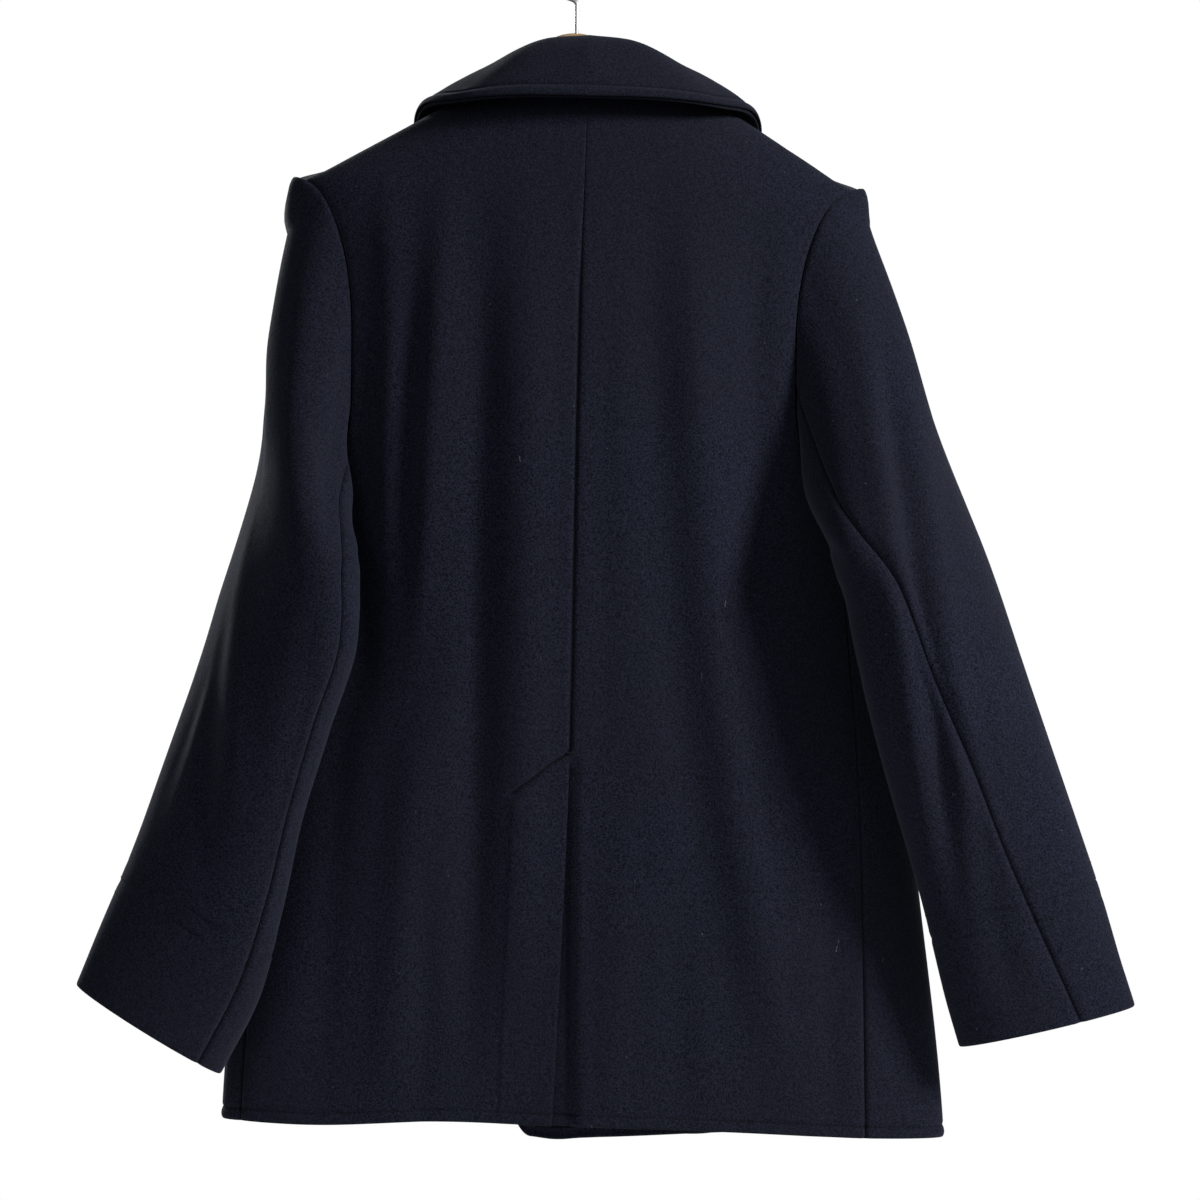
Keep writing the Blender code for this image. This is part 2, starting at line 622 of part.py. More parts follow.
def collar_grid():
    """The collar's middle surface: rows round the neck, columns up the stand and down the fall."""
    places = np.linspace(-1, 1, COLLAR_STEPS + 1)
    neck, fold, edge = collar_half(np.abs(places))
    mirror = np.stack([np.sign(places), np.ones_like(places), np.ones_like(places)], axis=-1)
    neck, fold, edge = (part * mirror + (COLLAR_X, 0, 0) for part in (neck, fold, edge))
    out = edge - fold
    out[:, 2] = 0
    out /= np.linalg.norm(out, axis=-1, keepdims=True)
    up = np.array([0, 0, 1.0])
    stand = [neck + (fold - out * FOLD_RADIUS - up * FOLD_RADIUS - neck) * t for t in (0, 0.5, 1)]
    arc = [
        fold - up * FOLD_RADIUS + (up * math.sin(a) - out * math.cos(a)) * FOLD_RADIUS
        for a in np.radians([30, 60, 90])
    ]
    near = fold + out * 0.014
    far = edge + (fold - edge) * 0.35 + up * 0.008
    fall = [
        fold * (1 - t) ** 3 + 3 * near * t * (1 - t) ** 2 + 3 * far * t * t * (1 - t) + edge * t**3
        for t in (0.14, 0.3, 0.5, 0.7, 0.86, 1)
    ]
    return np.stack(stand + arc + fall, axis=1)


def open_normal(points):
    normal = np.cross(np.gradient(points, axis=1), np.gradient(points, axis=0))
    return normal / np.linalg.norm(normal, axis=-1, keepdims=True)


def add_collar(finish):
    """The under collar is on the stand's outer side and under the fall, and the top collar is over it."""
    middle = collar_grid()
    normal = open_normal(middle)
    upward = normal[COLLAR_STEPS // 2, -2, 2]
    normal *= np.sign(upward)
    over = middle + normal * (WALL + HALF_GAP)
    wall("top_collar", over, middle + normal * HALF_GAP, finish)
    under = middle[:, :-1].copy()
    under_normal = normal[:, :-1]
    wall("under_collar", under - under_normal * HALF_GAP, under - under_normal * (WALL + HALF_GAP), finish)


def lapel_grid(side, first):
    """Rows up the roll line from the break to the gorge, columns from the roll line to the outer edge."""
    sign = SIGN[side]
    up = np.linspace(first, 1, 10)[:, None]
    out = np.array([0, 0.06, 0.2, 0.38, 0.55, 0.72, 0.88, 1.0])[None, :]
    _, fold, tip = (part[0] for part in collar_half(np.array([1.0])))
    gorge = np.array([COLLAR_X + sign * fold[0], fold[2] - 0.0095])
    collar_tip = np.array([COLLAR_X + sign * tip[0], tip[2] - 0.003])
    point = np.array([COLLAR_X + sign * LAPEL_TIP[0], LAPEL_TIP[1]])
    roll_z = BREAK_Z + up * (gorge[1] - BREAK_Z)
    roll = np.stack([read(EDGE, side, roll_z), roll_z], axis=-1)
    start = np.array([float(read(EDGE, side, BREAK_Z)), BREAK_Z])
    outward = np.array([sign * 0.865, -0.502])
    rim = start + up[..., None] * (point - start) + outward * LAPEL_BULGE * np.sin(np.pi * up)[..., None]
    rim = rim + outward * 0.004
    flat = roll * (1 - out[..., None]) + rim * out[..., None]
    along_collar = gorge + np.minimum(out / GORGE_SHARE, 1)[..., None] * (collar_tip - gorge) * GORGE_SHARE
    notch = gorge + (collar_tip - gorge) * GORGE_SHARE
    beyond = np.clip((out - GORGE_SHARE) / (1 - GORGE_SHARE), 0, 1)[..., None]
    top = np.where(out[..., None] < GORGE_SHARE, along_collar, notch + (point - notch) * beyond)
    straight = gorge * (1 - out[..., None]) + point * out[..., None]
    flat = flat + (top - straight) * up[..., None] ** 5
    flat[:, 0] += outward * 0.0005
    return on_face("front", flat[..., 0], flat[..., 1]), out


def add_lapels(finish):
    for side, first in (("left", 0.0), ("right", RIGHT_LAPEL_FROM)):
        base, out = lapel_grid(side, first)
        normal = body_normal(base)
        under = overlap_lift(base) if side == "left" else 0 * base[..., 0]
        crown = 0.0022 * np.sin(np.pi * out) * np.linspace(0.3, 1, len(base))[:, None]
        if side == "right":
            crown = crown * smooth((np.linspace(0, 1, len(base))[:, None] - 0.3) / 0.4)
        gap = LAPEL_GAP if side == "left" else LAYER_GAP
        lower = base + normal * (under + gap + crown)[..., None]
        wall("lapel_" + side, lower + normal * WALL, lower, finish)


# Pockets and buttons


def add_welts(finish):
    """Each welt is a strip standing on the front, over the slanted opening of a hand-warmer pocket."""
    for side in SIGN:
        sign = SIGN[side]
        along = np.linspace(-0.5, 0.5, 9)[:, None] * WELT_LENGTH
        across = np.linspace(-0.5, 0.5, 4)[None, :] * WELT_WIDTH
        x = WELT_X[side] + sign * (across * math.cos(WELT_LEAN) - along * math.sin(WELT_LEAN))
        z = WELT_Z + along * math.cos(WELT_LEAN) + across * math.sin(WELT_LEAN)
        base = on_face("front", x, z)
        normal = body_normal(base)
        under = overlap_lift(base) if side == "left" else 0 * x
        lower = base + normal * (under + LAYER_GAP)[..., None]
        wall("pocket_welt_" + side, lower + normal * WELT_THICKNESS, lower, finish)


def button_profile():
    """Half of a button's section, from the middle of its face out to the rim and back under it."""
    profile = (
        (0.0, 0.0028),
        (0.0090, 0.0030),
        (0.0120, 0.0044),
        (0.0150, 0.0045),
        (BUTTON_RADIUS, 0.0028),
        (0.0150, 0.0006),
        (0.0100, 0.0),
        (0.0, 0.0),
    )
    mesh = bpy.data.meshes.new("button")
    edges = [(k, k + 1) for k in range(len(profile) - 1)]
    mesh.from_pydata([(radius, 0, height) for radius, height in profile], edges, [])
    return mesh


def add_buttons(finish):
    """Turned discs with a raised rim: two columns of three on the left front, one of them along its edge."""
    number = 0
    for z in BUTTON_ROW_Z:
        edge = float(read(EDGE, "left", z))
        for x in (edge + BUTTON_FROM_EDGE, edge + BUTTON_FROM_EDGE + BUTTON_SPACING):
            number += 1
            base = on_face("front", np.array(x), np.array(z))
            normal = body_normal(base)
            lift = float(overlap_lift(base)) + BUTTON_STANDOFF
            made = add_object(f"button_{number}", button_profile(), finish)
            made.location = base + normal * lift
            made.rotation_mode = "QUATERNION"
            made.rotation_quaternion = Vector(normal).to_track_quat("Z", "Y")
            turned = made.modifiers.new("turned", "SCREW")
            turned.steps = BUTTON_STEPS
            turned.render_steps = BUTTON_STEPS
            turned.use_merge_vertices = True
            turned.merge_threshold = 0.0001


# Hanger


def hanger_bar(finish):
    """A bent wooden bar: level at the neck, then down both shoulders, wider and rounder to its ends."""
    stations = (
        (-1.00, -0.194, -0.1885, 0.015, 0.024, -0.004),
        (-0.90, -0.176, -0.1785, 0.017, 0.026, -0.004),
        (-0.60, -0.118, -0.1480, 0.020, 0.024, -0.003),
        (-0.36, -0.068, -0.1270, 0.022, 0.018, -0.001),
        (-0.22, -0.036, -0.1060, 0.028, 0.015, 0.0),
        (-0.10, -0.016, -0.0905, 0.034, 0.014, 0.0),
        (0.00, 0.000, -0.0870, 0.038, 0.014, 0.0),
        (0.10, 0.0135, -0.0905, 0.034, 0.014, 0.0),
        (0.22, 0.0245, -0.1160, 0.024, 0.014, 0.0),
        (0.36, 0.054, -0.1275, 0.022, 0.018, -0.001),
        (0.60, 0.106, -0.1510, 0.020, 0.022, -0.003),
        (0.90, 0.168, -0.1815, 0.017, 0.024, -0.004),
        (1.00, 0.186, -0.1905, 0.015, 0.024, -0.004),
    )
    bar = table("share x z height depth y", stations)
    share = np.linspace(-1, 1, 29)[:, None]
    angle = np.linspace(0, 2 * np.pi, 16, endpoint=False)[None, :]
    x, z, y = (read(bar, name, share) for name in ("x", "z", "y"))
    slope = np.gradient(z[:, 0], x[:, 0])[:, None]
    lean = np.sqrt(1 + slope**2)
    end = np.clip(1 - np.abs(share), 0, 0.06) / 0.06
    swell = 0.35 + 0.65 * np.sqrt(1 - (1 - end) ** 2)
    up = read(bar, "height", share) / 2 * swell * np.sin(angle)
    through = read(bar, "depth", share) / 2 * swell * np.sign(np.cos(angle)) * np.abs(np.cos(angle)) ** 0.8
    points = np.stack([x - up * slope / lean, y + through, z + up / lean], axis=-1)
    rows, columns = points.shape[:2]
    bm = bmesh.new()
    verts = [[bm.verts.new(points[i, k]) for k in range(columns)] for i in range(rows)]
    for i in range(rows - 1):
        for k in range(columns):
            after = (k + 1) % columns
            bm.faces.new((verts[i][k], verts[i][after], verts[i + 1][after], verts[i + 1][k]))
    bm.faces.new(verts[0])
    bm.faces.new(verts[-1])
    bmesh.ops.recalc_face_normals(bm, faces=bm.faces)
    bmesh.ops.triangulate(bm, faces=bm.faces)
    mesh = bpy.data.meshes.new("hanger_bar")
    bm.to_mesh(mesh)
    bm.free()
    mesh.set_sharp_from_angle(angle=math.radians(50))
    return add_object("hanger_bar", mesh, finish)


def hanger_hook(finish):
    """Steel wire: a stem out of the bar's neck, then round to the saddle and past it."""
    radius = HOOK_RADIUS + WIRE_RADIUS
    centre_z = -HOOK_RADIUS
    stem_top = centre_z - radius - 0.004
    stem = [(0, 0, z) for z in np.linspace(HANGER_NECK_Z + 0.0004, stem_top, 4)]
    turns = np.radians(np.linspace(-60, 195, 22))
    ring = [(radius * math.cos(a), 0, centre_z + radius * math.sin(a)) for a in turns]
    curve = bpy.data.curves.new("hanger_hook", "CURVE")
    curve.dimensions = "3D"
    curve.bevel_depth = WIRE_RADIUS
    curve.bevel_resolution = 2
    curve.use_fill_caps = True
    path = stem + [(0.0042, 0, stem_top + 0.0058)] + ring
    spline = curve.splines.new("POLY")
    spline.points.add(len(path) - 1)
    for point, place in zip(spline.points, path):
        point.co = (*place, 1)
    return add_object("hanger_hook", curve, finish)


def main():
    clear_scene()
    wool = material("wool", (0.009, 0.011, 0.018), 0.95)
    horn = material("button", (0.012, 0.012, 0.016), 0.35)
    beech = material("hanger_wood", (0.60, 0.38, 0.19), 0.45)
    steel = material("hook_steel", (0.75, 0.75, 0.76), 0.25, 1.0)
    add_body(wool)
    add_sleeves(wool)
    add_collar(wool)
    add_lapels(wool)
    add_welts(wool)
    add_buttons(horn)
    hanger_bar(beech)
    hanger_hook(steel)


main()
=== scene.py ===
"""Looks of a double-breasted pea coat of napped wool, hung on a wooden hanger by its steel hook.

Metres, +Z up, with the origin at the saddle of the hook. The front faces -Y and the wearer's left is +X.
"""

import math

import bpy
import numpy as np
from mathutils import Matrix, Vector


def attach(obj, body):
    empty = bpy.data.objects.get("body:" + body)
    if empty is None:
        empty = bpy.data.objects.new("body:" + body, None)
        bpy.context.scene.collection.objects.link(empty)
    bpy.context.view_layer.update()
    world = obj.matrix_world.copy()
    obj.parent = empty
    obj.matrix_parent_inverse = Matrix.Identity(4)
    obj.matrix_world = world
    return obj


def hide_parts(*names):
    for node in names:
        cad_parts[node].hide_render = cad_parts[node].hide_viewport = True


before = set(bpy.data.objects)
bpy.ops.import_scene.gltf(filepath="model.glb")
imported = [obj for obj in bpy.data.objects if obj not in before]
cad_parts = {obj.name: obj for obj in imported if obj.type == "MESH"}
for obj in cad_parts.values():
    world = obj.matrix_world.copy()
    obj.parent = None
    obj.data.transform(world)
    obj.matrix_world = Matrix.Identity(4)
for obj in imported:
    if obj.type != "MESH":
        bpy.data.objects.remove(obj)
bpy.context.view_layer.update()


# The backs: two halves of thick melton wool, sewn down the middle as far as the vent. Below it the left
# half ends in a folded flap, and the right half goes on under the flap as the underlap. The hem is turned
# up inside and topstitched.

WOOL_THICKNESS = 0.0024
EDGE_THICKNESS = 0.0046  # where the cloth is turned in and stitched
SEAM_ROUND = 0.0030  # how far from a seam the cloth starts to roll into it
EDGE_ROUND = 0.0026
HEM_STITCH = 0.0088  # from the edge to the topstitching
SEAM_PINCH = 0.0014  # how deep the two pieces are drawn in along a seam
STITCH_SINK = 0.0009
STITCH_WIDTH = 0.0012
NECK_HALF, NECK_Z, BACK_NECK_DROP = 0.075, -0.105, 0.013
TIP_Z, SHOULDER_SLOPE = -0.186, 0.585
UNDERARM_Z, ARM_BACK_X, ARM_FRONT_X = -0.4425, 0.168, 0.160
ARM_ARC_FROM, ARM_ARC_TO = 0.55, 0.35
UNDERARM_ROW = 0.641  # share of a panel's height at the underarm
CENTRE_BACK_X, VENT_TOP_Z, VENT_SLANT_Z = -0.007, -0.614, -0.648
UNDERLAP_X, UNDERLAP_DROP = 0.041, 0.0042
HEM_TURN_UP, TURN_UP_FADE = 0.030, 0.008
SIGN = {"left": 1.0, "right": -1.0}


def table(names, rows):
    """Columns by name, each an array down the rows."""
    return dict(zip(names.split(), np.array(rows, float).T))


BODY = table(
    "z shift half_width y_back y_side y_front n_back n_front",
    (
        (-0.930, -0.0230, 0.2770, 0.041, 0.000, -0.047, 2.7, 2.8),
        (-0.900, -0.0220, 0.2755, 0.042, -0.002, -0.048, 2.7, 2.8),
        (-0.780, -0.0185, 0.2660, 0.047, -0.012, -0.055, 2.6, 2.7),
        (-0.660, -0.0140, 0.2540, 0.054, -0.026, -0.068, 2.5, 2.6),
        (-0.540, -0.0100, 0.2400, 0.063, -0.044, -0.084, 2.2, 2.6),
        (-0.440, -0.0065, 0.2250, 0.070, -0.044, -0.095, 2.1, 2.5),
        (-0.340, -0.0040, 0.2150, 0.070, -0.028, -0.095, 2.2, 2.4),
        (-0.250, -0.0030, 0.2110, 0.064, -0.012, -0.083, 2.2, 2.3),
        (-0.186, -0.0040, 0.2135, 0.054, -0.004, -0.068, 2.1, 2.2),
        (-0.140, -0.0090, 0.1350, 0.042, -0.004, -0.056, 2.1, 2.1),
        (-0.105, -0.0100, 0.0750, 0.032, -0.004, -0.046, 2.1, 2.1),
        (-0.080, -0.0100, 0.0350, 0.028, -0.004, -0.040, 2.1, 2.1),
    ),
)
BACK_HEM = table(
    "x z",
    (
        (-0.300, -0.9040),
        (-0.240, -0.9020),
        (-0.140, -0.8980),
        (0.000, -0.8957),
        (0.080, -0.8945),
        (0.180, -0.9003),
        (0.260, -0.8990),
    ),
)
SIDE = table(
    "z left right",
    (
        (-0.930, 0.2385, -0.2370),
        (-0.870, 0.2370, -0.2350),
        (-0.740, 0.2290, -0.2308),
        (-0.620, 0.2200, -0.2250),
        (-0.4425, 0.2030, -0.2080),
    ),
)


def read(columns, name, at):
    """The named column at places in the first column: a cubic through the rows, with even slopes."""
    places = next(iter(columns.values()))
    values = columns[name]
    slopes = np.gradient(values, places)
    at = np.asarray(at, float)
    i = np.clip(np.searchsorted(places, at, side="right") - 1, 0, len(places) - 2)
    step = places[i + 1] - places[i]
    t = np.clip((at - places[i]) / step, 0, 1)
    return (
        (1 + 2 * t) * (1 - t) ** 2 * values[i]
        + t * (1 - t) ** 2 * step * slopes[i]
        + t**2 * (3 - 2 * t) * values[i + 1]
        + t**2 * (t - 1) * step * slopes[i + 1]
    )


def smooth(t):
    """0 to 1 with level ends."""
    t = np.clip(t, 0, 1)
    return t * t * (3 - 2 * t)


def bell(distance, width):
    """1 at no distance, and nearly 0 from twice the width on."""
    return np.exp(-((distance / width) ** 2))


def half_width(z):
    """Half the body's width: from its sections, and along the straight shoulder line above them."""
    return np.where(z > TIP_Z, NECK_HALF + (NECK_Z - z) / SHOULDER_SLOPE, read(BODY, "half_width", z))


def quarter(face, z):
    """Share of the length of a quarter of the outline, centre to side, at even steps of its angle."""
    angle = np.linspace(0, np.pi / 2, 90)
    power = 2 / read(BODY, "n_" + face, z)[..., None]
    depth = (read(BODY, "y_" + face, z) - read(BODY, "y_side", z))[..., None]
    x = half_width(z)[..., None] * np.sin(angle) ** power
    y = depth * np.abs(np.cos(angle)) ** power
    run = np.cumsum(np.hypot(np.diff(x, prepend=0), np.diff(y, prepend=depth)), axis=-1)
    return angle, run / run[..., -1:]


def body_at(side, turn, z):
    """Points of the body. Turn 0 is the centre front, 1 the side and 2 the centre back, by length.

    Each half section is a superellipse: x = width * sin(a)^(2/n) and y = depth * cos(a)^(2/n)."""
    turn, z = np.broadcast_arrays(np.asarray(turn, float), np.asarray(z, float))
    shift, wide, y_side = read(BODY, "shift", z), half_width(z), read(BODY, "y_side", z)
    points = np.zeros(z.shape + (3,))
    for face, chosen, share in (("front", turn <= 1, np.abs(turn)), ("back", turn > 1, 2 - turn)):
        if not chosen.any():
            continue
        angle, run = quarter(face, z[chosen])
        share = np.clip(share[chosen], 0, 1)[:, None]
        i = np.clip((run <= share).sum(-1) - 1, 0, len(angle) - 2)[:, None]
        low, high = np.take_along_axis(run, i, 1), np.take_along_axis(run, i + 1, 1)
        a = (angle[i] + (angle[i + 1] - angle[i]) * (share - low) / (high - low + 1e-12))[:, 0]
        a = np.clip(a, 0, np.pi / 2)
        power = 2 / read(BODY, "n_" + face, z[chosen])
        depth = read(BODY, "y_" + face, z[chosen]) - y_side[chosen]
        across = wide[chosen] * np.sin(a) ** power * np.where(turn[chosen] < 0, -1, 1)
        points[chosen, 0] = shift[chosen] + SIGN[side] * across
        points[chosen, 1] = y_side[chosen] + depth * np.abs(np.cos(a)) ** power
    points[..., 2] = z
    return points


def turn_at(side, face, x, z):
    """The turn at which the front or the back has this x: the same section, read the other way."""
    x, z = np.broadcast_arrays(np.asarray(x, float), np.asarray(z, float))
    out = SIGN[side] * (x - read(BODY, "shift", z))
    angle, run = quarter(face, z)
    power = read(BODY, "n_" + face, z) / 2
    a = np.arcsin(np.clip(np.abs(out) / half_width(z), 0, 1) ** power)
    place = a / angle[1]
    i = np.clip(place.astype(int), 0, len(angle) - 2)[..., None]
    low, high = np.take_along_axis(run, i, -1)[..., 0], np.take_along_axis(run, i + 1, -1)[..., 0]
    share = low + (high - low) * (place - i[..., 0])
    return np.sign(out) * share if face == "front" else 2 - share


def on_face(face, x, z):
    """Points of the body's front or back at these x and z."""
    x, z = np.broadcast_arrays(np.asarray(x, float), np.asarray(z, float))
    power = read(BODY, "n_" + face, z)
    share = np.clip(np.abs(x - read(BODY, "shift", z)) / half_width(z), 0, 1)
    y_side = read(BODY, "y_side", z)
    y = y_side + (read(BODY, "y_" + face, z) - y_side) * (1 - share**power) ** (1 / power)
    return np.stack([x, y, z], axis=-1)


def body_level(points):
    """1 on the body's surface and more outside it: |x/width|^n + |y/depth|^n."""
    x, y, z = points[..., 0], points[..., 1], points[..., 2]
    y_side = read(BODY, "y_side", z)
    behind = y > y_side
    power = np.where(behind, read(BODY, "n_back", z), read(BODY, "n_front", z))
    y_face = np.where(behind, read(BODY, "y_back", z), read(BODY, "y_front", z))
    across = np.abs(x - read(BODY, "shift", z)) / half_width(z)
    return across**power + np.abs((y - y_side) / (y_face - y_side)) ** power


def body_slope(points):
    """How body_level changes along x, y and z."""
    step = 2e-5 * np.eye(3)
    return np.stack([body_level(points + s) - body_level(points - s) for s in step], axis=-1) / 4e-5


def body_normal(points):
    """Unit normals of the body's surface."""
    slope = body_slope(points)
    return slope / np.linalg.norm(slope, axis=-1, keepdims=True)


def armhole_turn(side, face, height):
    """Turn of the armhole at a share of its height: a quarter ellipse under the arm, then straight up,
    then an arc out to the shoulder."""
    z = UNDERARM_Z + height * (TIP_Z - UNDERARM_Z)
    straight = ARM_BACK_X if face == "back" else ARM_FRONT_X
    tip = half_width(np.array(TIP_Z))
    rise = np.clip((height - ARM_ARC_FROM) / (1 - ARM_ARC_FROM), 0, 1)
    out = straight + (tip - straight) * (1 - np.sqrt(1 - rise**2))
    upper = turn_at(side, face, read(BODY, "shift", z) + SIGN[side] * out, z)
    corner_z = UNDERARM_Z + ARM_ARC_TO * (TIP_Z - UNDERARM_Z)
    corner = turn_at(side, face, read(BODY, "shift", corner_z) + SIGN[side] * straight, corner_z)
    seam = turn_at(side, "back", read(SIDE, side, UNDERARM_Z), UNDERARM_Z)
    drop = np.clip((ARM_ARC_TO - height) / ARM_ARC_TO, 0, 1)
    lower = seam + (corner - seam) * np.sqrt(1 - drop**2)
    return np.where(height < ARM_ARC_TO, lower, np.where(height >= 1, 1.0, upper))


def side_turn(side, face, z):
    """Turn of a panel's outer edge: the side seam, then the armhole."""
    height = (z - UNDERARM_Z) / (TIP_Z - UNDERARM_Z)
    seam = turn_at(side, "back", read(SIDE, side, z), z)
    return np.where(height > 0, armhole_turn(side, face, np.clip(height, 0, 1)), seam)


def side_heights(side, rows):
    """Heights of the rows at the side seam and armhole, the same for the back and the front."""
    hem = read(BACK_HEM, "z", read(SIDE, side, -0.9))
    below = hem + (UNDERARM_Z - hem) * rows / UNDERARM_ROW
    above = UNDERARM_Z + (TIP_Z - UNDERARM_Z) * (rows - UNDERARM_ROW) / (1 - UNDERARM_ROW)
    return np.where(rows < UNDERARM_ROW, below, above)


NEAR_EDGE = np.array([0, 3, 9, 17, 26, 38, 54, 70, 78, 88, 98, 106, 122]) / 10000
NEAR_SEAM = np.array([0, 3, 8, 15, 23, 32, 45]) / 10000
STITCH_ROW = 9  # the place in NEAR_EDGE that is at the topstitching


def spaced(length, start, end, step):
    """Shares of a length: at the given distances from its two ends, and in even steps between them."""
    count = max(3, int((length - start[-1] - end[-1]) / step))
    middle = np.linspace(start[-1], length - end[-1], count)
    return np.concatenate([start[:-1], middle, length - np.array(end[-2::-1])]) / length


def panel_rows():
    """Rows of a body panel: close at the hem, even to the underarm, then drawn close again at the
    underarm and at the shoulder as the armhole's curve needs."""
    below = spaced(0.508, NEAR_EDGE, (0, 0.002, 0.005), 0.0042) * UNDERARM_ROW
    even = np.arange(73) / 72
    arm = UNDERARM_ROW + (1 - UNDERARM_ROW) * (0.4 * even + 0.3 * (1 - np.cos(np.pi * even)))
    return np.concatenate([below[:-1], arm])


def folds(points, rows):
    """Soft ridges and troughs. Each follows a path from a high point to a low one, bowed in the middle, and
    is a bell across that path, faded in and out along it."""
    x, z = points[..., 0], points[..., 2]
    total = np.zeros_like(x)
    for x_high, z_high, x_low, z_low, bow, width, rise in rows:
        t = (z_high - z) / (z_high - z_low)
        path = x_high + (x_low - x_high) * t + bow * 4 * t * (1 - t)
        fade = smooth(t / 0.3) * smooth((1 - t) / 0.3)
        total += rise * fade * bell(x - path, width)
    return total


def ripple(points, phase):
    """The small unevenness of worn cloth: a few long waves that never line up."""
    x, y, z = points[..., 0], points[..., 1], points[..., 2]
    waves = np.sin(31 * x + 12 * z + phase) * np.sin(9 * z - 7 * x + 2 * phase)
    waves = waves + 0.6 * np.sin(23 * z + 14 * x + 3 * phase) * np.sin(19 * x + 11 * y - phase)
    return 0.0009 * waves


BACK_FOLDS = (
    (0.036, -0.14, 0.030, -0.86, -0.006, 0.019, 0.0046),
    (0.068, -0.15, 0.066, -0.92, -0.003, 0.015, -0.0066),
    (0.094, -0.14, 0.110, -0.60, 0.000, 0.013, 0.0044),
    (0.112, -0.24, 0.118, -0.52, 0.006, 0.011, -0.0036),
    (0.100, -0.55, 0.126, -0.92, 0.004, 0.018, 0.0044),
    (0.138, -0.15, 0.132, -0.52, 0.000, 0.013, 0.0034),
    (0.164, -0.19, 0.150, -0.64, 0.000, 0.016, -0.0050),
    (0.100, -0.68, 0.098, -0.93, 0.000, 0.009, -0.0014),
    (0.160, -0.50, 0.176, -0.93, 0.004, 0.014, -0.0026),
    (-0.028, -0.20, -0.034, -0.66, 0.004, 0.010, -0.0011),
    (-0.060, -0.14, -0.158, -0.92, 0.026, 0.018, -0.0040),
    (-0.090, -0.14, -0.192, -0.92, 0.026, 0.017, 0.0054),
    (-0.138, -0.18, -0.150, -0.54, 0.000, 0.020, -0.0060),
    (-0.050, -0.62, -0.040, -0.93, 0.000, 0.017, 0.0020),
    (-0.088, -0.66, -0.098, -0.93, 0.000, 0.013, -0.0020),
    (-0.208, -0.56, -0.214, -0.95, 0.000, 0.012, -0.0030),
)


def back_panel(side, rows, across):
    """Rows from the hem up, columns from the centre seam out. The top row is neck, then shoulder."""
    neck_column = NECK_HALF / half_width(np.array(TIP_Z))
    rows = rows[:, None]
    out = np.clip((across - neck_column) / (1 - neck_column), 0, 1)
    neck = np.clip(across / neck_column, 0, 1)
    top_z = NECK_Z + out * (TIP_Z - NECK_Z) - BACK_NECK_DROP * smooth(1 - neck)
    top_half = np.where(across < neck_column, NECK_HALF * neck, half_width(top_z))
    top_x = read(BODY, "shift", top_z) + SIGN[side] * top_half
    top_x[0] = CENTRE_BACK_X
    outer_z = side_heights(side, rows[:, 0])[:, None]
    outer_x = body_at(side, side_turn(side, "back", outer_z), outer_z)[..., 0]
    hem_z = read(BACK_HEM, "z", CENTRE_BACK_X + across * (outer_x[0] - CENTRE_BACK_X))
    side_rows = (outer_z - outer_z[0]) / (outer_z[-1] - outer_z[0])
    share = rows + (side_rows - rows) * across
    z = hem_z + share * (top_z - hem_z)
    below = np.clip((VENT_TOP_Z - z[:, :1]) / (VENT_TOP_Z + 0.9), 0, 1)
    if side == "left":
        inner_x = CENTRE_BACK_X + 0.0080 * below**1.2
    else:
        slant = np.clip((VENT_TOP_Z - z[:, :1]) / (VENT_TOP_Z - VENT_SLANT_Z), 0, 1)
        inner_x = CENTRE_BACK_X + (UNDERLAP_X - CENTRE_BACK_X) * slant
    even_x = read(SIDE, side, outer_z)
    x = inner_x + across * (even_x - inner_x) + across**4 * (outer_x - even_x)
    x = x + (top_x - x[-1]) * smooth(share * 4 - 3)
    return on_face("back", x, z)


def edge_distances(points):
    """Distance of each grid point from the first row, the last row, the first and the last column."""
    along = np.linalg.norm(np.diff(points, axis=0), axis=-1)
    over = np.linalg.norm(np.diff(points, axis=1), axis=-1)
    up = np.concatenate([np.zeros((1, points.shape[1])), np.cumsum(along, axis=0)])
    out = np.concatenate([np.zeros((points.shape[0], 1)), np.cumsum(over, axis=1)], axis=1)
    return up, up[-1:] - up, out, out[:, -1:] - out


def nearest(points, line):
    """Distance of each point of a grid from the nearest point of a line."""
    return np.sqrt(((points[:, :, None] - line) ** 2).sum(axis=-1)).min(axis=-1)


def shoulder_lift(points, side):
    """A small push out and up round the shoulder point, where the sleeve's head squares the corner."""
    near = np.exp(-((points - body_at(side, 1.0, TIP_Z)) ** 2).sum(axis=-1) / 0.018**2)
    return near[..., None] * np.array([SIGN[side] * 0.0035, 0, 0.0032])


def rounded(distance, radius):
    """A quarter circle: 0 at an edge and 1 from the radius on."""
    return np.sqrt(1 - (1 - np.clip(distance / radius, 0, 1)) ** 2)


def groove(distance, at):
    """The dent that a row of topstitching draws into thick cloth, with the cloth puffed beside it."""
    dent = bell(distance - at, STITCH_WIDTH)
    puff = bell(distance - at * 0.45, at * 0.3)
    return -STITCH_SINK * dent + 0.0005 * puff


def stitch_shade(distance, at):
    """Painted shade along a row of topstitching: how much darker the cloth is drawn where shade falls in
    its groove.
    """
    return 0.5 * bell(distance - at, 0.0009)


def pinch(distance):
    """The valley that a seam draws into thick cloth: a narrow bell on each side of it."""
    return -SEAM_PINCH * bell(distance, 0.0022)


def grid_normal(points):
    """Unit normals of a grid, square to both of its directions."""
    normal = np.cross(np.gradient(points, axis=1), np.gradient(points, axis=0))
    return normal / (np.linalg.norm(normal, axis=-1, keepdims=True) + 1e-12)


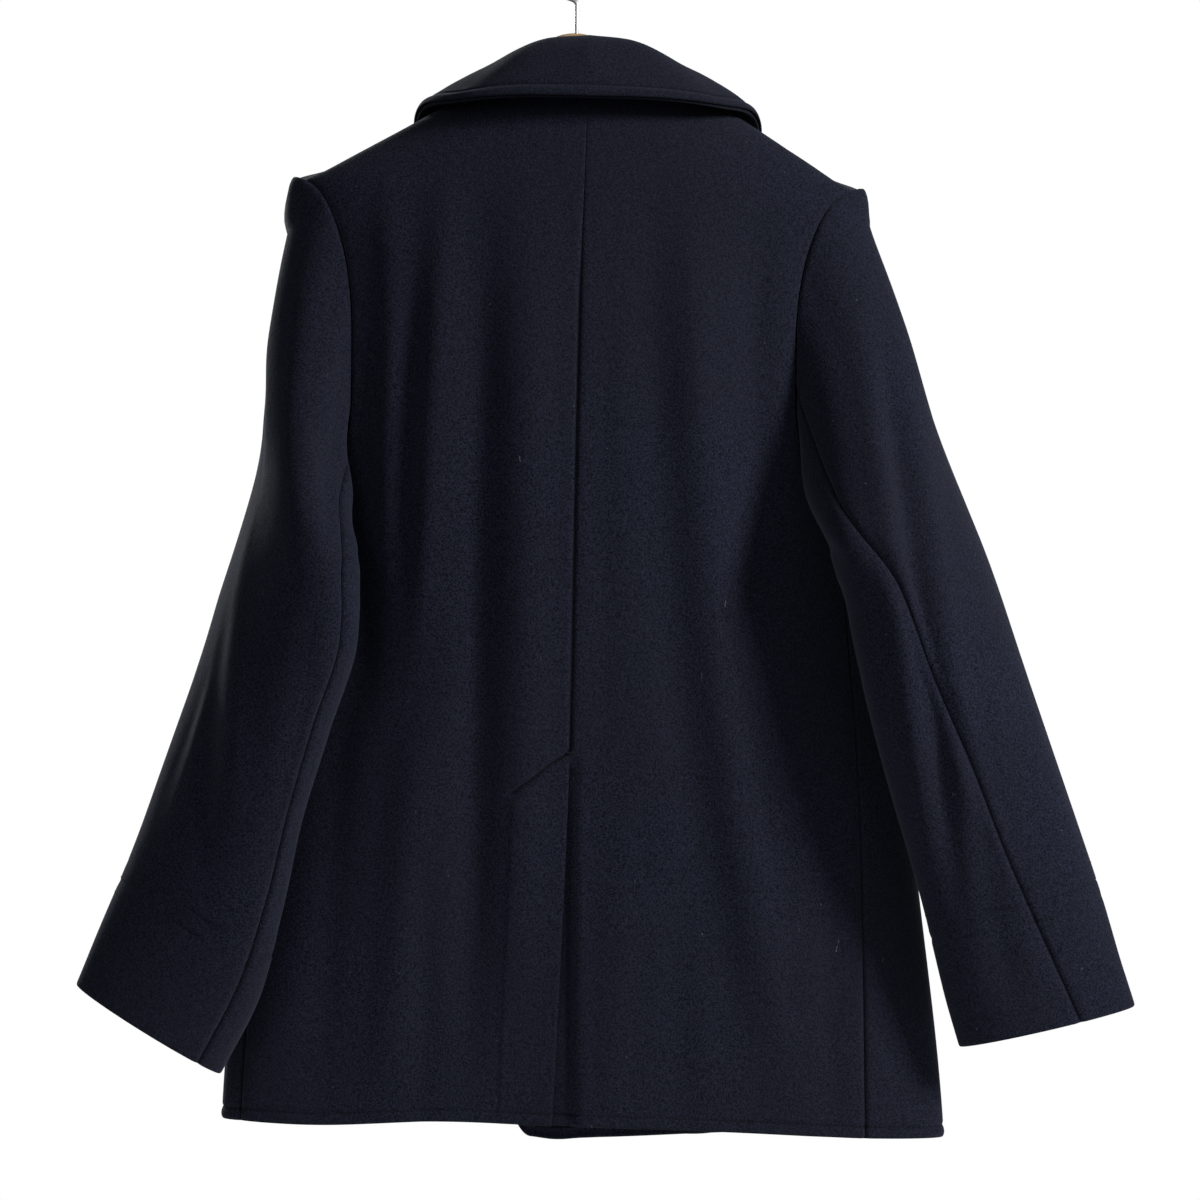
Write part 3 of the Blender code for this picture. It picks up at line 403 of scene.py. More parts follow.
def cloth(name, outer, normal, radii, finish, thick=WOOL_THICKNESS, dark=0):
    """One piece of cloth. The outer face lies on the given grid, and the inner face a thickness behind.
    Towards each edge both close on the middle surface along a quarter circle, so they share their rim.
    Radii are for the first row, the last row, the first and the last column. An attribute on the points
    holds painted shade: the cloth is drawn darker towards its rounded rims and along the dark lines given,
    where shade falls in the grooves of seams and stitching."""
    full = np.ones(outer.shape[:2])
    for distance, radius in zip(edge_distances(outer), radii):
        full = full * rounded(distance, radius)
    border = np.zeros(outer.shape[:2], bool)
    border[[0, -1]] = True
    border[:, [0, -1]] = True
    full[border] = 0
    middle = outer - normal * WOOL_THICKNESS / 2
    front = middle + normal * (WOOL_THICKNESS / 2 * full)[..., None]
    back = middle - normal * ((thick - WOOL_THICKNESS / 2) * full)[..., None]
    rows, columns = border.shape
    size = rows * columns
    first = np.arange(size).reshape(rows, columns)
    second = np.where(border, first, first + size)
    corners = []
    for number, turned in ((first, False), (second, True)):
        quads = [number[:-1, :-1], number[:-1, 1:], number[1:, 1:], number[1:, :-1]]
        corners.append(np.stack(quads[::-1] if turned else quads, axis=-1).reshape(-1, 4))
    faces = np.concatenate(corners)
    used, faces = np.unique(faces, return_inverse=True)
    faces = faces.reshape(-1, 4)
    points = np.concatenate([front.reshape(-1, 3), back.reshape(-1, 3)])[used]
    a, b, d = (points[faces[:, k]] for k in (0, 1, 3))
    turned_way = np.cross(b - a, d - a)[: size // 3].sum(axis=0)
    if turned_way @ normal.reshape(-1, 3)[: size // 3].sum(axis=0) < 0:
        faces = faces[:, ::-1]
    made = add_mesh(name, points, faces, finish)
    # Painted shade: darker towards the rims, where the faces round over, and along the dark lines given,
    # standing in for the shade in grooves.
    shade = np.concatenate([(1 - full + dark).ravel(), (1 - full).ravel()])[used]
    marks = made.data.attributes.new("painted_groove_shade", "FLOAT", "POINT")
    marks.data.foreach_set("value", np.clip(shade, 0, 1).astype(np.float32))
    return made, front


def add_mesh(name, points, faces, finish):
    """A smooth-shaded mesh object at the origin, riding on the coat."""
    mesh = bpy.data.meshes.new(name)
    mesh.from_pydata(points.tolist(), [], faces.tolist() if hasattr(faces, "tolist") else faces)
    mesh.update()
    mesh.shade_smooth()
    mesh.materials.append(finish)
    made = bpy.data.objects.new(name, mesh)
    bpy.context.scene.collection.objects.link(made)
    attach(made, "root")
    return made


def add_node(tree, kind, inputs=None, **settings):
    """A shader node with its settings, and with a value or a link for each input named."""
    made = tree.nodes.new(kind)
    for name, value in settings.items():
        setattr(made, name, value)
    for name, value in (inputs or {}).items():
        if isinstance(value, bpy.types.NodeSocket):
            tree.links.new(value, made.inputs[name])
        else:
            made.inputs[name].default_value = value
    return made


def start_material(name, **constants):
    """A material's tree and shader, with the constant values set on the shader's own sockets."""
    made = bpy.data.materials.new(name)
    made.use_nodes = True
    tree = made.node_tree
    shader = tree.nodes["Principled BSDF"]
    for socket, value in constants.items():
        shader.inputs[socket.replace("_", " ")].default_value = value
    place = tree.nodes.new("ShaderNodeTexCoord").outputs["Object"]
    return made, tree, shader, place


def blend_colours(tree, factor, low, high):
    """A mix of two colours or sockets by a factor socket."""
    mix = tree.nodes.new("ShaderNodeMix")
    mix.data_type = "RGBA"
    tree.links.new(factor, mix.inputs[0])
    for number, value in ((6, low), (7, high)):
        if isinstance(value, bpy.types.NodeSocket):
            tree.links.new(value, mix.inputs[number])
        else:
            mix.inputs[number].default_value = (*value, 1)
    return mix.outputs[2]


def times(tree, first, second):
    """The product of a socket and a number or socket."""
    return add_node(tree, "ShaderNodeMath", {0: first, 1: second}, operation="MULTIPLY").outputs[0]


def plus(tree, first, second):
    """The sum of a socket and a number or socket."""
    return add_node(tree, "ShaderNodeMath", {0: first, 1: second}, operation="ADD").outputs[0]


def shaped(tree, place, scale):
    """A place stretched along its axes, for a pattern with a grain."""
    return add_node(tree, "ShaderNodeMapping", {"Vector": place, "Scale": scale}).outputs[0]


def noise(tree, place, scale, detail=3.0, roughness=0.55):
    """Fractal noise, as a socket from 0 to 1."""
    values = {"Vector": place, "Scale": scale, "Detail": detail, "Roughness": roughness}
    return add_node(tree, "ShaderNodeTexNoise", values).outputs[0]


def stretch(tree, socket, low, high):
    """Spreads the part of a value between low and high over 0 to 1."""
    values = {"Value": socket, "From Min": low, "From Max": high}
    return add_node(tree, "ShaderNodeMapRange", values).outputs[0]


def melton():
    """Dense wool with a brushed nap: two depths of matted fibre, cloudy wear, pale stray fibres and a soft
    sheen. Rims, seams and stitch lines carry painted shade, darker where shade falls in their grooves."""
    made, tree, shader, place = start_material(
        "melton",
        Roughness=0.92,
        Sheen_Weight=0.09,
        Sheen_Roughness=0.48,
        Sheen_Tint=(0.62, 0.66, 0.86, 1),
        Specular_IOR_Level=0.10,
    )
    fine = noise(tree, place, 1300, 2.0, 0.6)
    tuft = noise(tree, place, 680, 3.0, 0.66)
    mottle = noise(tree, place, 85, 4.0, 0.6)
    cloud = noise(tree, place, 7, 3.0, 0.5)
    matted = plus(tree, times(tree, fine, 0.35), times(tree, tuft, 0.65))
    depth = stretch(tree, matted, 0.40, 0.62)
    base = blend_colours(tree, depth, (0.0008, 0.0014, 0.0044), (0.0205, 0.0240, 0.0450))
    worn = blend_colours(tree, stretch(tree, mottle, 0.42, 0.66), base, (0.0130, 0.0148, 0.0250))
    colour = blend_colours(tree, times(tree, stretch(tree, mottle, 0.3, 0.7), 0.15), base, worn)
    wear = times(tree, stretch(tree, cloud, 0.35, 0.7), 0.4)
    colour = blend_colours(tree, wear, colour, (0.0095, 0.0098, 0.0160))
    stray_fibres = (
        ((0.3, 0.5, 0.9), (1.0, 1.0, 0.10), 0.0),
        ((1.1, 0.2, 2.0), (1.0, 0.09, 1.0), 4.0),
    )
    for turn, shape, seed in stray_fibres:
        mapped = add_node(
            tree,
            "ShaderNodeMapping",
            {"Vector": place, "Rotation": turn, "Scale": shape, "Location": (seed, seed, seed)},
        ).outputs[0]
        bent = add_node(tree, "ShaderNodeTexNoise", {"Vector": place, "Scale": 120.0, "Detail": 1.0})
        inputs = {0: bent.outputs["Color"], "Scale": 0.006}
        shifted = add_node(tree, "ShaderNodeVectorMath", inputs, operation="SCALE").outputs[0]
        inputs = {0: mapped, 1: shifted}
        moved = add_node(tree, "ShaderNodeVectorMath", inputs, operation="ADD").outputs[0]
        cells = add_node(tree, "ShaderNodeTexVoronoi", {"Vector": moved, "Scale": 150.0})
        thin = stretch(tree, cells.outputs["Distance"], 0.085, 0.035)
        some = add_node(tree, "ShaderNodeSeparateColor", {"Color": cells.outputs["Color"]}).outputs[0]
        rare = stretch(tree, some, 0.90, 0.99)
        amount = times(tree, times(tree, thin, rare), 0.55)
        colour = blend_colours(tree, amount, colour, (0.16, 0.17, 0.20))
    # Painted shade from the points' attribute: rims, seams and stitching are drawn towards near black,
    # where shade falls in their grooves.
    painted_groove_shade = add_node(tree, "ShaderNodeAttribute", attribute_name="painted_groove_shade").outputs["Fac"]
    painted_shade_amount = times(tree, stretch(tree, painted_groove_shade, 0.15, 0.85), 0.80)
    colour = blend_colours(tree, painted_shade_amount, colour, (0.0016, 0.0018, 0.0032))
    tree.links.new(colour, shader.inputs["Base Color"])
    coarse = plus(tree, tuft, times(tree, mottle, 1.2))
    height = plus(tree, times(tree, fine, 0.35), coarse)
    bump = add_node(tree, "ShaderNodeBump", {"Strength": 0.55, "Distance": 0.0009, "Height": height})
    tree.links.new(bump.outputs[0], shader.inputs["Normal"])
    return made


def thread_material():
    """Twisted dark thread, a little glossier than the cloth."""
    made, tree, shader, place = start_material("thread", Roughness=0.8, Specular_IOR_Level=0.2)
    twist = noise(tree, place, 2600, 1.0)
    colour = blend_colours(tree, twist, (0.0040, 0.0048, 0.0080), (0.0110, 0.0125, 0.0190))
    tree.links.new(colour, shader.inputs["Base Color"])
    return made


WOOL = melton()
THREAD = thread_material()


def stitches(name, lines, pitch=0.0034, length=0.0025, radius=0.00026):
    """Topstitching. Each line is walked in equal steps, and each step carries one stitch: a spindle of
    thread with six sides, bowed up in the middle and sunk into the cloth at both ends."""
    points, faces, start = [], [], 0
    share = np.array([-1.0, -0.62, 0.0, 0.62, 1.0])
    thick = np.array([0.25, 0.9, 1.0, 0.9, 0.25])
    lift = np.array([-1.0, 0.1, 0.55, 0.1, -1.0])
    angle = np.arange(6) * np.pi / 3
    for path, normal in lines:
        run = np.concatenate([[0], np.cumsum(np.linalg.norm(np.diff(path, axis=0), axis=1))])
        at = (np.arange(int(run[-1] / pitch)) + 0.5) * pitch

        def walk(values, where):
            return np.stack([np.interp(where, run, values[:, k]) for k in range(3)], axis=-1)

        ahead = walk(path, at + length / 2) - walk(path, at - length / 2)
        ahead /= np.linalg.norm(ahead, axis=-1, keepdims=True) + 1e-12
        up = walk(normal, at)
        beside = np.cross(ahead, up)
        beside /= np.linalg.norm(beside, axis=-1, keepdims=True) + 1e-12
        up = np.cross(beside, ahead)
        ring = (
            up[:, None, None] * (radius * (np.sin(angle) * thick[:, None] + lift[:, None]))[None, ..., None]
            + beside[:, None, None] * (np.cos(angle) * radius * thick[:, None])[None, ..., None]
            + ahead[:, None, None] * (share * length / 2)[None, :, None, None]
        )
        made = walk(path, at)[:, None, None] + ring
        points.append(made.reshape(-1, 3))
        base = start + np.arange(len(at))[:, None, None] * 30 + np.arange(4)[None, :, None] * 6
        here = base + np.arange(6)
        after = base + (np.arange(6) + 1) % 6
        faces += np.stack([here, after, after + 6, here + 6], axis=-1).reshape(-1, 4).tolist()
        for k in range(len(at)):
            faces.append([start + k * 30 + j for j in range(5, -1, -1)])
            faces.append([start + k * 30 + 24 + j for j in range(6)])
        start += len(at) * 30
    made = add_mesh(name, np.concatenate(points), faces, THREAD)
    return made


def drape_back(points, side):
    """Folds and ripples of a back, faded out at its side, armhole and shoulder seams."""
    _, down, inner, _ = edge_distances(points)
    hold = smooth(nearest(points, points[:, -1]) / 0.035) * smooth(down / 0.05)
    total = folds(points, BACK_FOLDS) + ripple(points, 0.7)
    if side == "right":
        total = total * smooth((inner + 0.02) / 0.05)
    return total * hold


SLANT = np.array([(-0.0068, -0.6145), (0.0070, -0.6230), (0.0190, -0.6330), (0.0350, -0.6450)])

back_lines = []
for side in SIGN:
    rows = panel_rows()
    free_edge = NEAR_EDGE if side == "left" else NEAR_SEAM
    across = spaced(0.245, free_edge, NEAR_SEAM, 0.0040)
    if side == "left":
        across = np.sort(np.concatenate([across, np.linspace(0.0135, 0.0440, 22) / 0.245]))
        rows = np.sort(np.concatenate([rows, np.linspace(0.3135, 0.3715, 32)]))
    flat = back_panel(side, rows, across)
    normal = body_normal(flat)
    up, down, inner, outer = edge_distances(flat)
    rise = drape_back(flat, side)
    vent = smooth((VENT_TOP_Z - flat[..., 2]) / 0.012)
    corner = smooth(np.linalg.norm(flat - flat[-1, -1], axis=-1) / 0.03)
    rise = rise + (pinch(outer) + pinch(down)) * corner + pinch(inner) * (1 - vent)
    x, z = flat[..., 0], flat[..., 2]
    rise = rise + groove(up, HEM_STITCH)
    # Painted shade: a dark line along the centre seam above the vent and along the hem's topstitching,
    # where shade falls in their grooves.
    dark = 0.6 * bell(inner, 0.0013) * (1 - vent) + stitch_shade(up, HEM_STITCH)
    if side == "left":
        fall = np.clip((VENT_TOP_Z - z) / 0.28, 0, 1)
        rise = rise + 0.0028 * fall * np.exp(-inner / 0.022) * vent
        from_slant = np.full(x.shape, 1.0)
        for (x0, z0), (x1, z1) in zip(SLANT, SLANT[1:]):
            along, down_by = x1 - x0, z1 - z0
            t = np.clip(((x - x0) * along + (z - z0) * down_by) / (along**2 + down_by**2), 0, 1)
            from_slant = np.minimum(from_slant, np.hypot(x - x0 - t * along, z - z0 - t * down_by))
        rise = rise - 0.0017 * bell(from_slant, 0.0019)
        # Painted shade along the slanted stitching at the top of the vent, where its groove is shaded.
        dark = dark + 0.9 * bell(from_slant, 0.0014)
        under_edge = 0.0355 + 0.0055 * np.clip((-0.650 - z) / 0.2, 0, 1)
        step = smooth((under_edge + 0.002 - x) / 0.004)
        step = step * smooth((VENT_SLANT_Z - z) / 0.01) * smooth((z + 0.905) / 0.02)
        rise = rise + 0.0009 * step
    else:
        fold_x = CENTRE_BACK_X - 0.0075 * np.clip((VENT_TOP_Z - z) / (VENT_TOP_Z + 0.9), 0, 1)
        lowered = smooth((x - fold_x + 0.0042) / 0.0052) * smooth((VENT_TOP_Z + 0.004 - z) / 0.02)
        rise = rise - UNDERLAP_DROP * lowered
        rise = rise + 0.0008 * bell(x - fold_x + 0.008, 0.005) * vent
        # Painted shadow: the underlap, sunk under the left flap, is drawn darker where the flap shades it.
        dark = dark + 0.35 * lowered
    draped = flat + normal * rise[..., None] + shoulder_lift(flat, side)
    hem = EDGE_THICKNESS - WOOL_THICKNESS
    thick = WOOL_THICKNESS + hem * (1 - smooth((up - HEM_TURN_UP) / TURN_UP_FADE))
    radii = (EDGE_ROUND, SEAM_ROUND, SEAM_ROUND, SEAM_ROUND)
    piece, shown = cloth(f"back_{side}_cloth", draped, normal, radii, WOOL, thick, dark)
    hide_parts(f"back_{side}")
    row = STITCH_ROW
    keep = slice(2, -2) if side == "left" else slice(np.argmax(flat[row, :, 0] < -0.020), -2)
    back_lines.append((shown[row, keep], normal[row, keep]))
    if side == "left":
        line_x = np.interp(np.linspace(0, 3, 40), range(4), SLANT[:, 0])
        line_z = np.interp(np.linspace(0, 3, 40), range(4), SLANT[:, 1])
        at_x, at_y, at_z = shown.reshape(-1, 3).T
        far = (at_x - line_x[:, None]) ** 2 + (at_z - line_z[:, None]) ** 2
        weight = np.exp(-far / 0.003**2)
        line_y = (weight * at_y).sum(axis=1) / weight.sum(axis=1)
        line = np.stack([line_x, line_y, line_z], axis=-1)
        back_lines.append((line, body_normal(line)))
stitches("back_topstitching", back_lines)

# Bar tack: a short dense bar of thread where the centre seam opens into the vent, laid across the seam.

tack_x = np.linspace(-0.0105, -0.0028, 24)
tack_lines = []
for drop in (0.0, 0.0005, 0.0010):
    tack = on_face("back", tack_x, VENT_TOP_Z - drop)
    tack_lines.append((tack - body_normal(tack) * 0.0006, body_normal(tack)))
stitches("vent_bar_tack", tack_lines, 0.0016, 0.0022, 0.0003)


# The fronts: each is cut in one with its half of the double-breasted overlap, and runs round the side to
# the side seam in the back. The left front buttons over the right. Edges are topstitched.

OVERLAP_LIFT, LAPEL_LIFT, BREAK_Z = 0.0032, 0.0044, -0.385
FRONT_HEM = {
    "left": table(
        "share z",
        (
            (0.00, -0.8995),
            (0.30, -0.9010),
            (0.60, -0.9045),
            (0.85, -0.9110),
            (0.95, -0.9100),
            (0.98, -0.9070),
            (1.00, -0.8960),
        ),
    ),
    "right": table(
        "share z",
        (
            (0.00, -0.9020),
            (0.30, -0.9035),
            (0.60, -0.9090),
            (0.85, -0.9155),
            (0.95, -0.9165),
            (0.98, -0.9130),
            (1.00, -0.9010),
        ),
    ),
}
EDGE = table(
    "z left right",
    (
        (-0.930, -0.1470, 0.0300),
        (-0.650, -0.1240, 0.0510),
        (-0.400, -0.1060, 0.0720),
        (-0.385, -0.1040, 0.0730),
        (-0.340, -0.0780, 0.0510),
        (-0.240, -0.0190, -0.0080),
        (-0.142, 0.0420, -0.0650),
        (-0.118, 0.0570, -0.0790),
        (-0.105, 0.0650, -0.0850),
    ),
)
FRONT_FOLDS = (
    (0.150, -0.20, 0.128, -0.62, -0.008, 0.022, -0.0042),
    (0.108, -0.36, 0.140, -0.92, 0.004, 0.026, 0.0036),
    (0.190, -0.47, 0.205, -0.95, -0.006, 0.018, -0.0040),
    (0.060, -0.44, 0.070, -0.95, 0.006, 0.020, -0.0024),
    (-0.160, -0.20, -0.150, -0.60, 0.012, 0.022, -0.0046),
    (-0.128, -0.40, -0.168, -0.94, -0.006, 0.026, 0.0034),
    (-0.208, -0.46, -0.226, -0.94, 0.006, 0.018, -0.0042),
    (-0.030, -0.40, -0.046, -0.90, 0.004, 0.024, 0.0022),
    (-0.078, -0.42, -0.070, -0.80, 0.004, 0.016, -0.0016),
)


def overlap_lift(points):
    """How far the left front stands off the body's surface, to clear the right front and lapel."""
    x, y, z = points[..., 0], points[..., 1], points[..., 2]
    edge = read(EDGE, "right", z)
    height = OVERLAP_LIFT + LAPEL_LIFT * smooth((z + 0.39) / 0.05) * (1 - smooth((z + 0.19) / 0.04))
    edge = np.where(z > -0.24, np.maximum(edge, -0.005), edge)
    return height * smooth((edge + 0.045 - x) / 0.035) * (y < 0) * (1 - smooth((z + 0.155) / 0.03))


def front_panel(side, rows, across):
    """Rows from the hem up, columns from the side seam to the front edge, even round the body."""
    rows = rows[:, None]
    top_z = TIP_Z + across * (NECK_Z - TIP_Z)
    outer_z = side_heights(side, rows[:, 0])[:, None]
    hem_z = read(FRONT_HEM[side], "z", across)
    side_rows = (outer_z - outer_z[0]) / (outer_z[-1] - outer_z[0])
    share = rows + (side_rows - rows) * (1 - across)
    z = hem_z + (outer_z[0] - hem_z[0]) * (1 - across) + share * (top_z - hem_z)
    z[:, 0] = outer_z[:, 0]
    outer = side_turn(side, "front", z[:, :1])
    inner = turn_at(side, "front", read(EDGE, side, z[:, -1:]), z[:, -1:])
    even = turn_at(side, "back", read(SIDE, side, z[:, :1]), z[:, :1])
    turn = even + across * (inner - even) + (1 - across) ** 4 * (outer - even)
    turn[-1] = 0.9985
    return body_at(side, turn, z)


def front_rise(points, side):
    """Height of the draped left or right front over the body's surface, away from its seams."""
    lift = overlap_lift(points) if side == "left" else 0 * points[..., 0]
    facing = smooth((read(BODY, "y_side", points[..., 2]) - points[..., 1]) / 0.02)
    return lift + (folds(points, FRONT_FOLDS) * facing + ripple(points, 2.1 + SIGN[side]))


front_lines = []
for side in SIGN:
    rows = panel_rows()
    across = spaced(0.395, NEAR_SEAM, NEAR_EDGE, 0.0046)
    flat = front_panel(side, rows, across)
    normal = body_normal(flat)
    up, down, outer, inner = edge_distances(flat)
    lift = overlap_lift(flat) if side == "left" else 0 * up
    hold = smooth(nearest(flat, flat[:, 0]) / 0.035) * smooth(down / 0.05)
    rise = lift + (front_rise(flat, side) - lift) * hold
    below_break = smooth((BREAK_Z - 0.01 - flat[..., 2]) / 0.02)
    edge_groove = groove(inner, HEM_STITCH) * below_break
    rise = rise + np.where(up < inner, groove(up, HEM_STITCH), edge_groove)
    # Painted shade along the topstitching at the hem and the front edge, where its groove is shaded.
    dark = stitch_shade(np.minimum(up, inner + 1 - below_break), HEM_STITCH)
    corner = smooth(np.linalg.norm(flat - flat[-1, 0], axis=-1) / 0.03)
    rise = rise + (pinch(outer) + pinch(down)) * corner
    draped = flat + normal * rise[..., None] + shoulder_lift(flat, side)
    turned_in = np.minimum(up - HEM_TURN_UP, inner - 0.012)
    thick = WOOL_THICKNESS + 0.0008 * (1 - smooth(turned_in / TURN_UP_FADE))
    radii = (EDGE_ROUND, SEAM_ROUND, SEAM_ROUND, EDGE_ROUND)
    piece, shown = cloth(f"front_{side}_cloth", draped, normal, radii, WOOL, thick, dark)
    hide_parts(f"front_{side}")
    row = STITCH_ROW
    column = len(across) - 1 - row
    top = np.argmax(flat[:, -1, 2] > BREAK_Z - 0.012)
    front_lines.append((shown[row, 2 : column + 1], normal[row, 2 : column + 1]))
    front_lines.append((shown[row:top, column], normal[row:top, column]))
stitches("front_topstitching", front_lines)


# The sleeves: each is cut in two, a broad top sleeve and a narrower under sleeve, joined by the elbow seam
# at the back and the front seam, and eased into the armhole so that its head stands a little proud.
# Two rows of topstitching run round above the cuff's edge.

ARMHOLE_TUCK, SLEEVE_CLEARANCE = 0.0007, 0.0042
# How far the inner side of each sleeve bulges over the underarm, by height.
INNER_BULGE = table(
    "z left right",
    (
        (-0.560, 0.0000, 0.0000),
        (-0.510, 0.0022, 0.0000),
        (-0.483, 0.0068, -0.0040),
        (-0.461, 0.0175, -0.0120),
        (-0.447, 0.0200, -0.0060),
        (-0.425, 0.0198, 0.0030),
        (-0.400, 0.0180, 0.0075),
        (-0.340, 0.0040, 0.0045),
        (-0.280, 0.0000, 0.0000),
    ),
)
CUFF_ROWS = (0.086, 0.100)  # topstitching, from the cuff's edge
SLEEVE_LENGTH = 0.640
SLEEVE_NAMES = "share in_x in_z out_x out_z y depth slant elbow front"
SLEEVE = {
    "left": table(
        SLEEVE_NAMES,
        (
            (0.00, 0.2050, -0.4425, 0.2095, -0.1860, -0.003, 0.135, 0, 120, 280),
            (0.08, 0.2030, -0.4490, 0.2190, -0.2350, 0.005, 0.140, 5, 118, 278),
            (0.16, 0.1930, -0.4570, 0.2290, -0.2950, 0.018, 0.142, 14, 116, 276),
            (0.24, 0.1740, -0.4700, 0.2355, -0.3550, 0.032, 0.142, 24, 114, 273),
            (0.32, 0.1590, -0.4850, 0.2395, -0.4150, 0.043, 0.140, 32, 112, 271),
            (0.42, 0.1530, -0.5350, 0.2620, -0.5020, 0.053, 0.130, 36, 110, 268),
            (0.54, 0.1705, -0.6000, 0.2810, -0.5640, 0.058, 0.116, 36, 108, 266),
            (0.66, 0.1880, -0.6640, 0.3000, -0.6280, 0.059, 0.102, 34, 110, 264),
            (0.80, 0.2030, -0.7360, 0.3210, -0.6940, 0.056, 0.088, 28, 114, 259),
            (0.92, 0.2230, -0.8060, 0.3440, -0.7540, 0.050, 0.072, 18, 120, 254),
            (1.00, 0.2500, -0.8610, 0.3610, -0.7970, 0.045, 0.060, 8, 128, 249),
        ),
    ),
    "right": table(
        SLEEVE_NAMES,
        (
            (0.00, 0.2100, -0.4425, 0.2175, -0.1860, -0.003, 0.135, 0, 100, 280),
            (0.08, 0.2060, -0.4480, 0.2330, -0.2280, 0.005, 0.140, 5, 100, 278),
            (0.16, 0.1980, -0.4540, 0.2520, -0.2800, 0.017, 0.142, 12, 99, 276),
            (0.24, 0.1900, -0.4600, 0.2730, -0.3400, 0.028, 0.140, 18, 97, 273),
            (0.32, 0.1880, -0.4660, 0.2950, -0.3980, 0.038, 0.134, 22, 93, 271),
            (0.42, 0.2080, -0.4960, 0.3170, -0.4550, 0.046, 0.122, 22, 86, 268),
            (0.54, 0.2270, -0.5680, 0.3430, -0.5300, 0.048, 0.108, 20, 80, 266),
            (0.66, 0.2460, -0.6340, 0.3660, -0.5930, 0.046, 0.096, 16, 76, 264),
            (0.80, 0.2680, -0.7080, 0.3920, -0.6660, 0.042, 0.082, 12, 74, 259),
            (0.92, 0.2880, -0.7760, 0.4170, -0.7350, 0.036, 0.068, 6, 72, 254),
            (1.00, 0.3050, -0.8310, 0.4370, -0.7970, 0.032, 0.058, 0, 70, 249),
        ),
    ),
}
# Places of the two seams round the armhole, from the shoulder.
ELBOW_PLACE = {"left": 6 / 18, "right": 5 / 18}
FRONT_PLACE = 14 / 18
SLEEVE_BACK_FOLDS = (
    (0.241, -0.38, 0.238, -0.70, 0.003, 0.010, 0.0022),
    (0.254, -0.39, 0.262, -0.74, 0.003, 0.009, -0.0030),
    (0.192, -0.26, 0.196, -0.52, 0.008, 0.018, 0.0018),
    (0.212, -0.24, 0.214, -0.44, 0.004, 0.014, -0.0014),
    (0.180, -0.46, 0.222, -0.84, -0.006, 0.012, -0.0016),
    (-0.212, -0.24, -0.288, -0.76, 0.002, 0.012, 0.0046),
    (-0.228, -0.25, -0.304, -0.76, 0.002, 0.010, -0.0054),
    (-0.245, -0.27, -0.322, -0.76, 0.002, 0.013, 0.0044),
    (-0.300, -0.62, -0.350, -0.82, 0.002, 0.012, -0.0026),
    (-0.345, -0.46, -0.400, -0.78, 0.000, 0.016, 0.0016),
)
SLEEVE_FRONT_FOLDS = (
    (0.232, -0.30, 0.196, -0.50, 0.004, 0.014, -0.0040),
    (0.214, -0.40, 0.246, -0.66, 0.006, 0.014, 0.0038),
    (0.262, -0.50, 0.288, -0.78, 0.004, 0.016, -0.0038),
    (-0.245, -0.30, -0.214, -0.50, 0.004, 0.015, -0.0042),
    (-0.262, -0.40, -0.270, -0.66, -0.004, 0.014, 0.0040),
    (-0.300, -0.48, -0.345, -0.78, 0.004, 0.016, -0.0040),
)


def armhole_ring(side, place):
    """The armhole seam: place 0 is the shoulder, then down the back, under the arm and up the front."""
    angle = 2 * np.pi * place
    height = (1 + np.cos(angle)) / 2
    z = UNDERARM_Z + height * (TIP_Z - UNDERARM_Z)
    behind = np.sin(angle) >= 0
    turn = np.where(behind, armhole_turn(side, "back", height), armhole_turn(side, "front", height))
    return body_at(side, turn, z)


def sleeve_section(side, share, angle):
    """A slanted oval across the arm. Angle 0 is its outer end, 90 its back, 180 its inner end."""
    value = {name: read(SLEEVE[side], name, share) for name in SLEEVE[side]}
    reach = np.cos(angle + np.radians(value["slant"]))
    x = (value["in_x"] + value["out_x"]) / 2 + (value["out_x"] - value["in_x"]) / 2 * reach
    y = value["y"] + value["depth"] / 2 * np.sin(angle)
    z = (value["in_z"] + value["out_z"]) / 2 + (value["out_z"] - value["in_z"]) / 2 * reach
    return np.stack([SIGN[side] * x, y, z], axis=-1)


def clear_of_body(points, gap):
    """Moves points nearer to the body's surface than the gap, or inside it, straight out of it."""
    for _ in range(5):
        slope = body_slope(points)
        steepness = np.linalg.norm(slope, axis=-1)
        short = np.clip(gap - (body_level(points) - 1) / steepness, 0, 0.03)
        points = points + slope / steepness[..., None] * short[..., None]
    return points


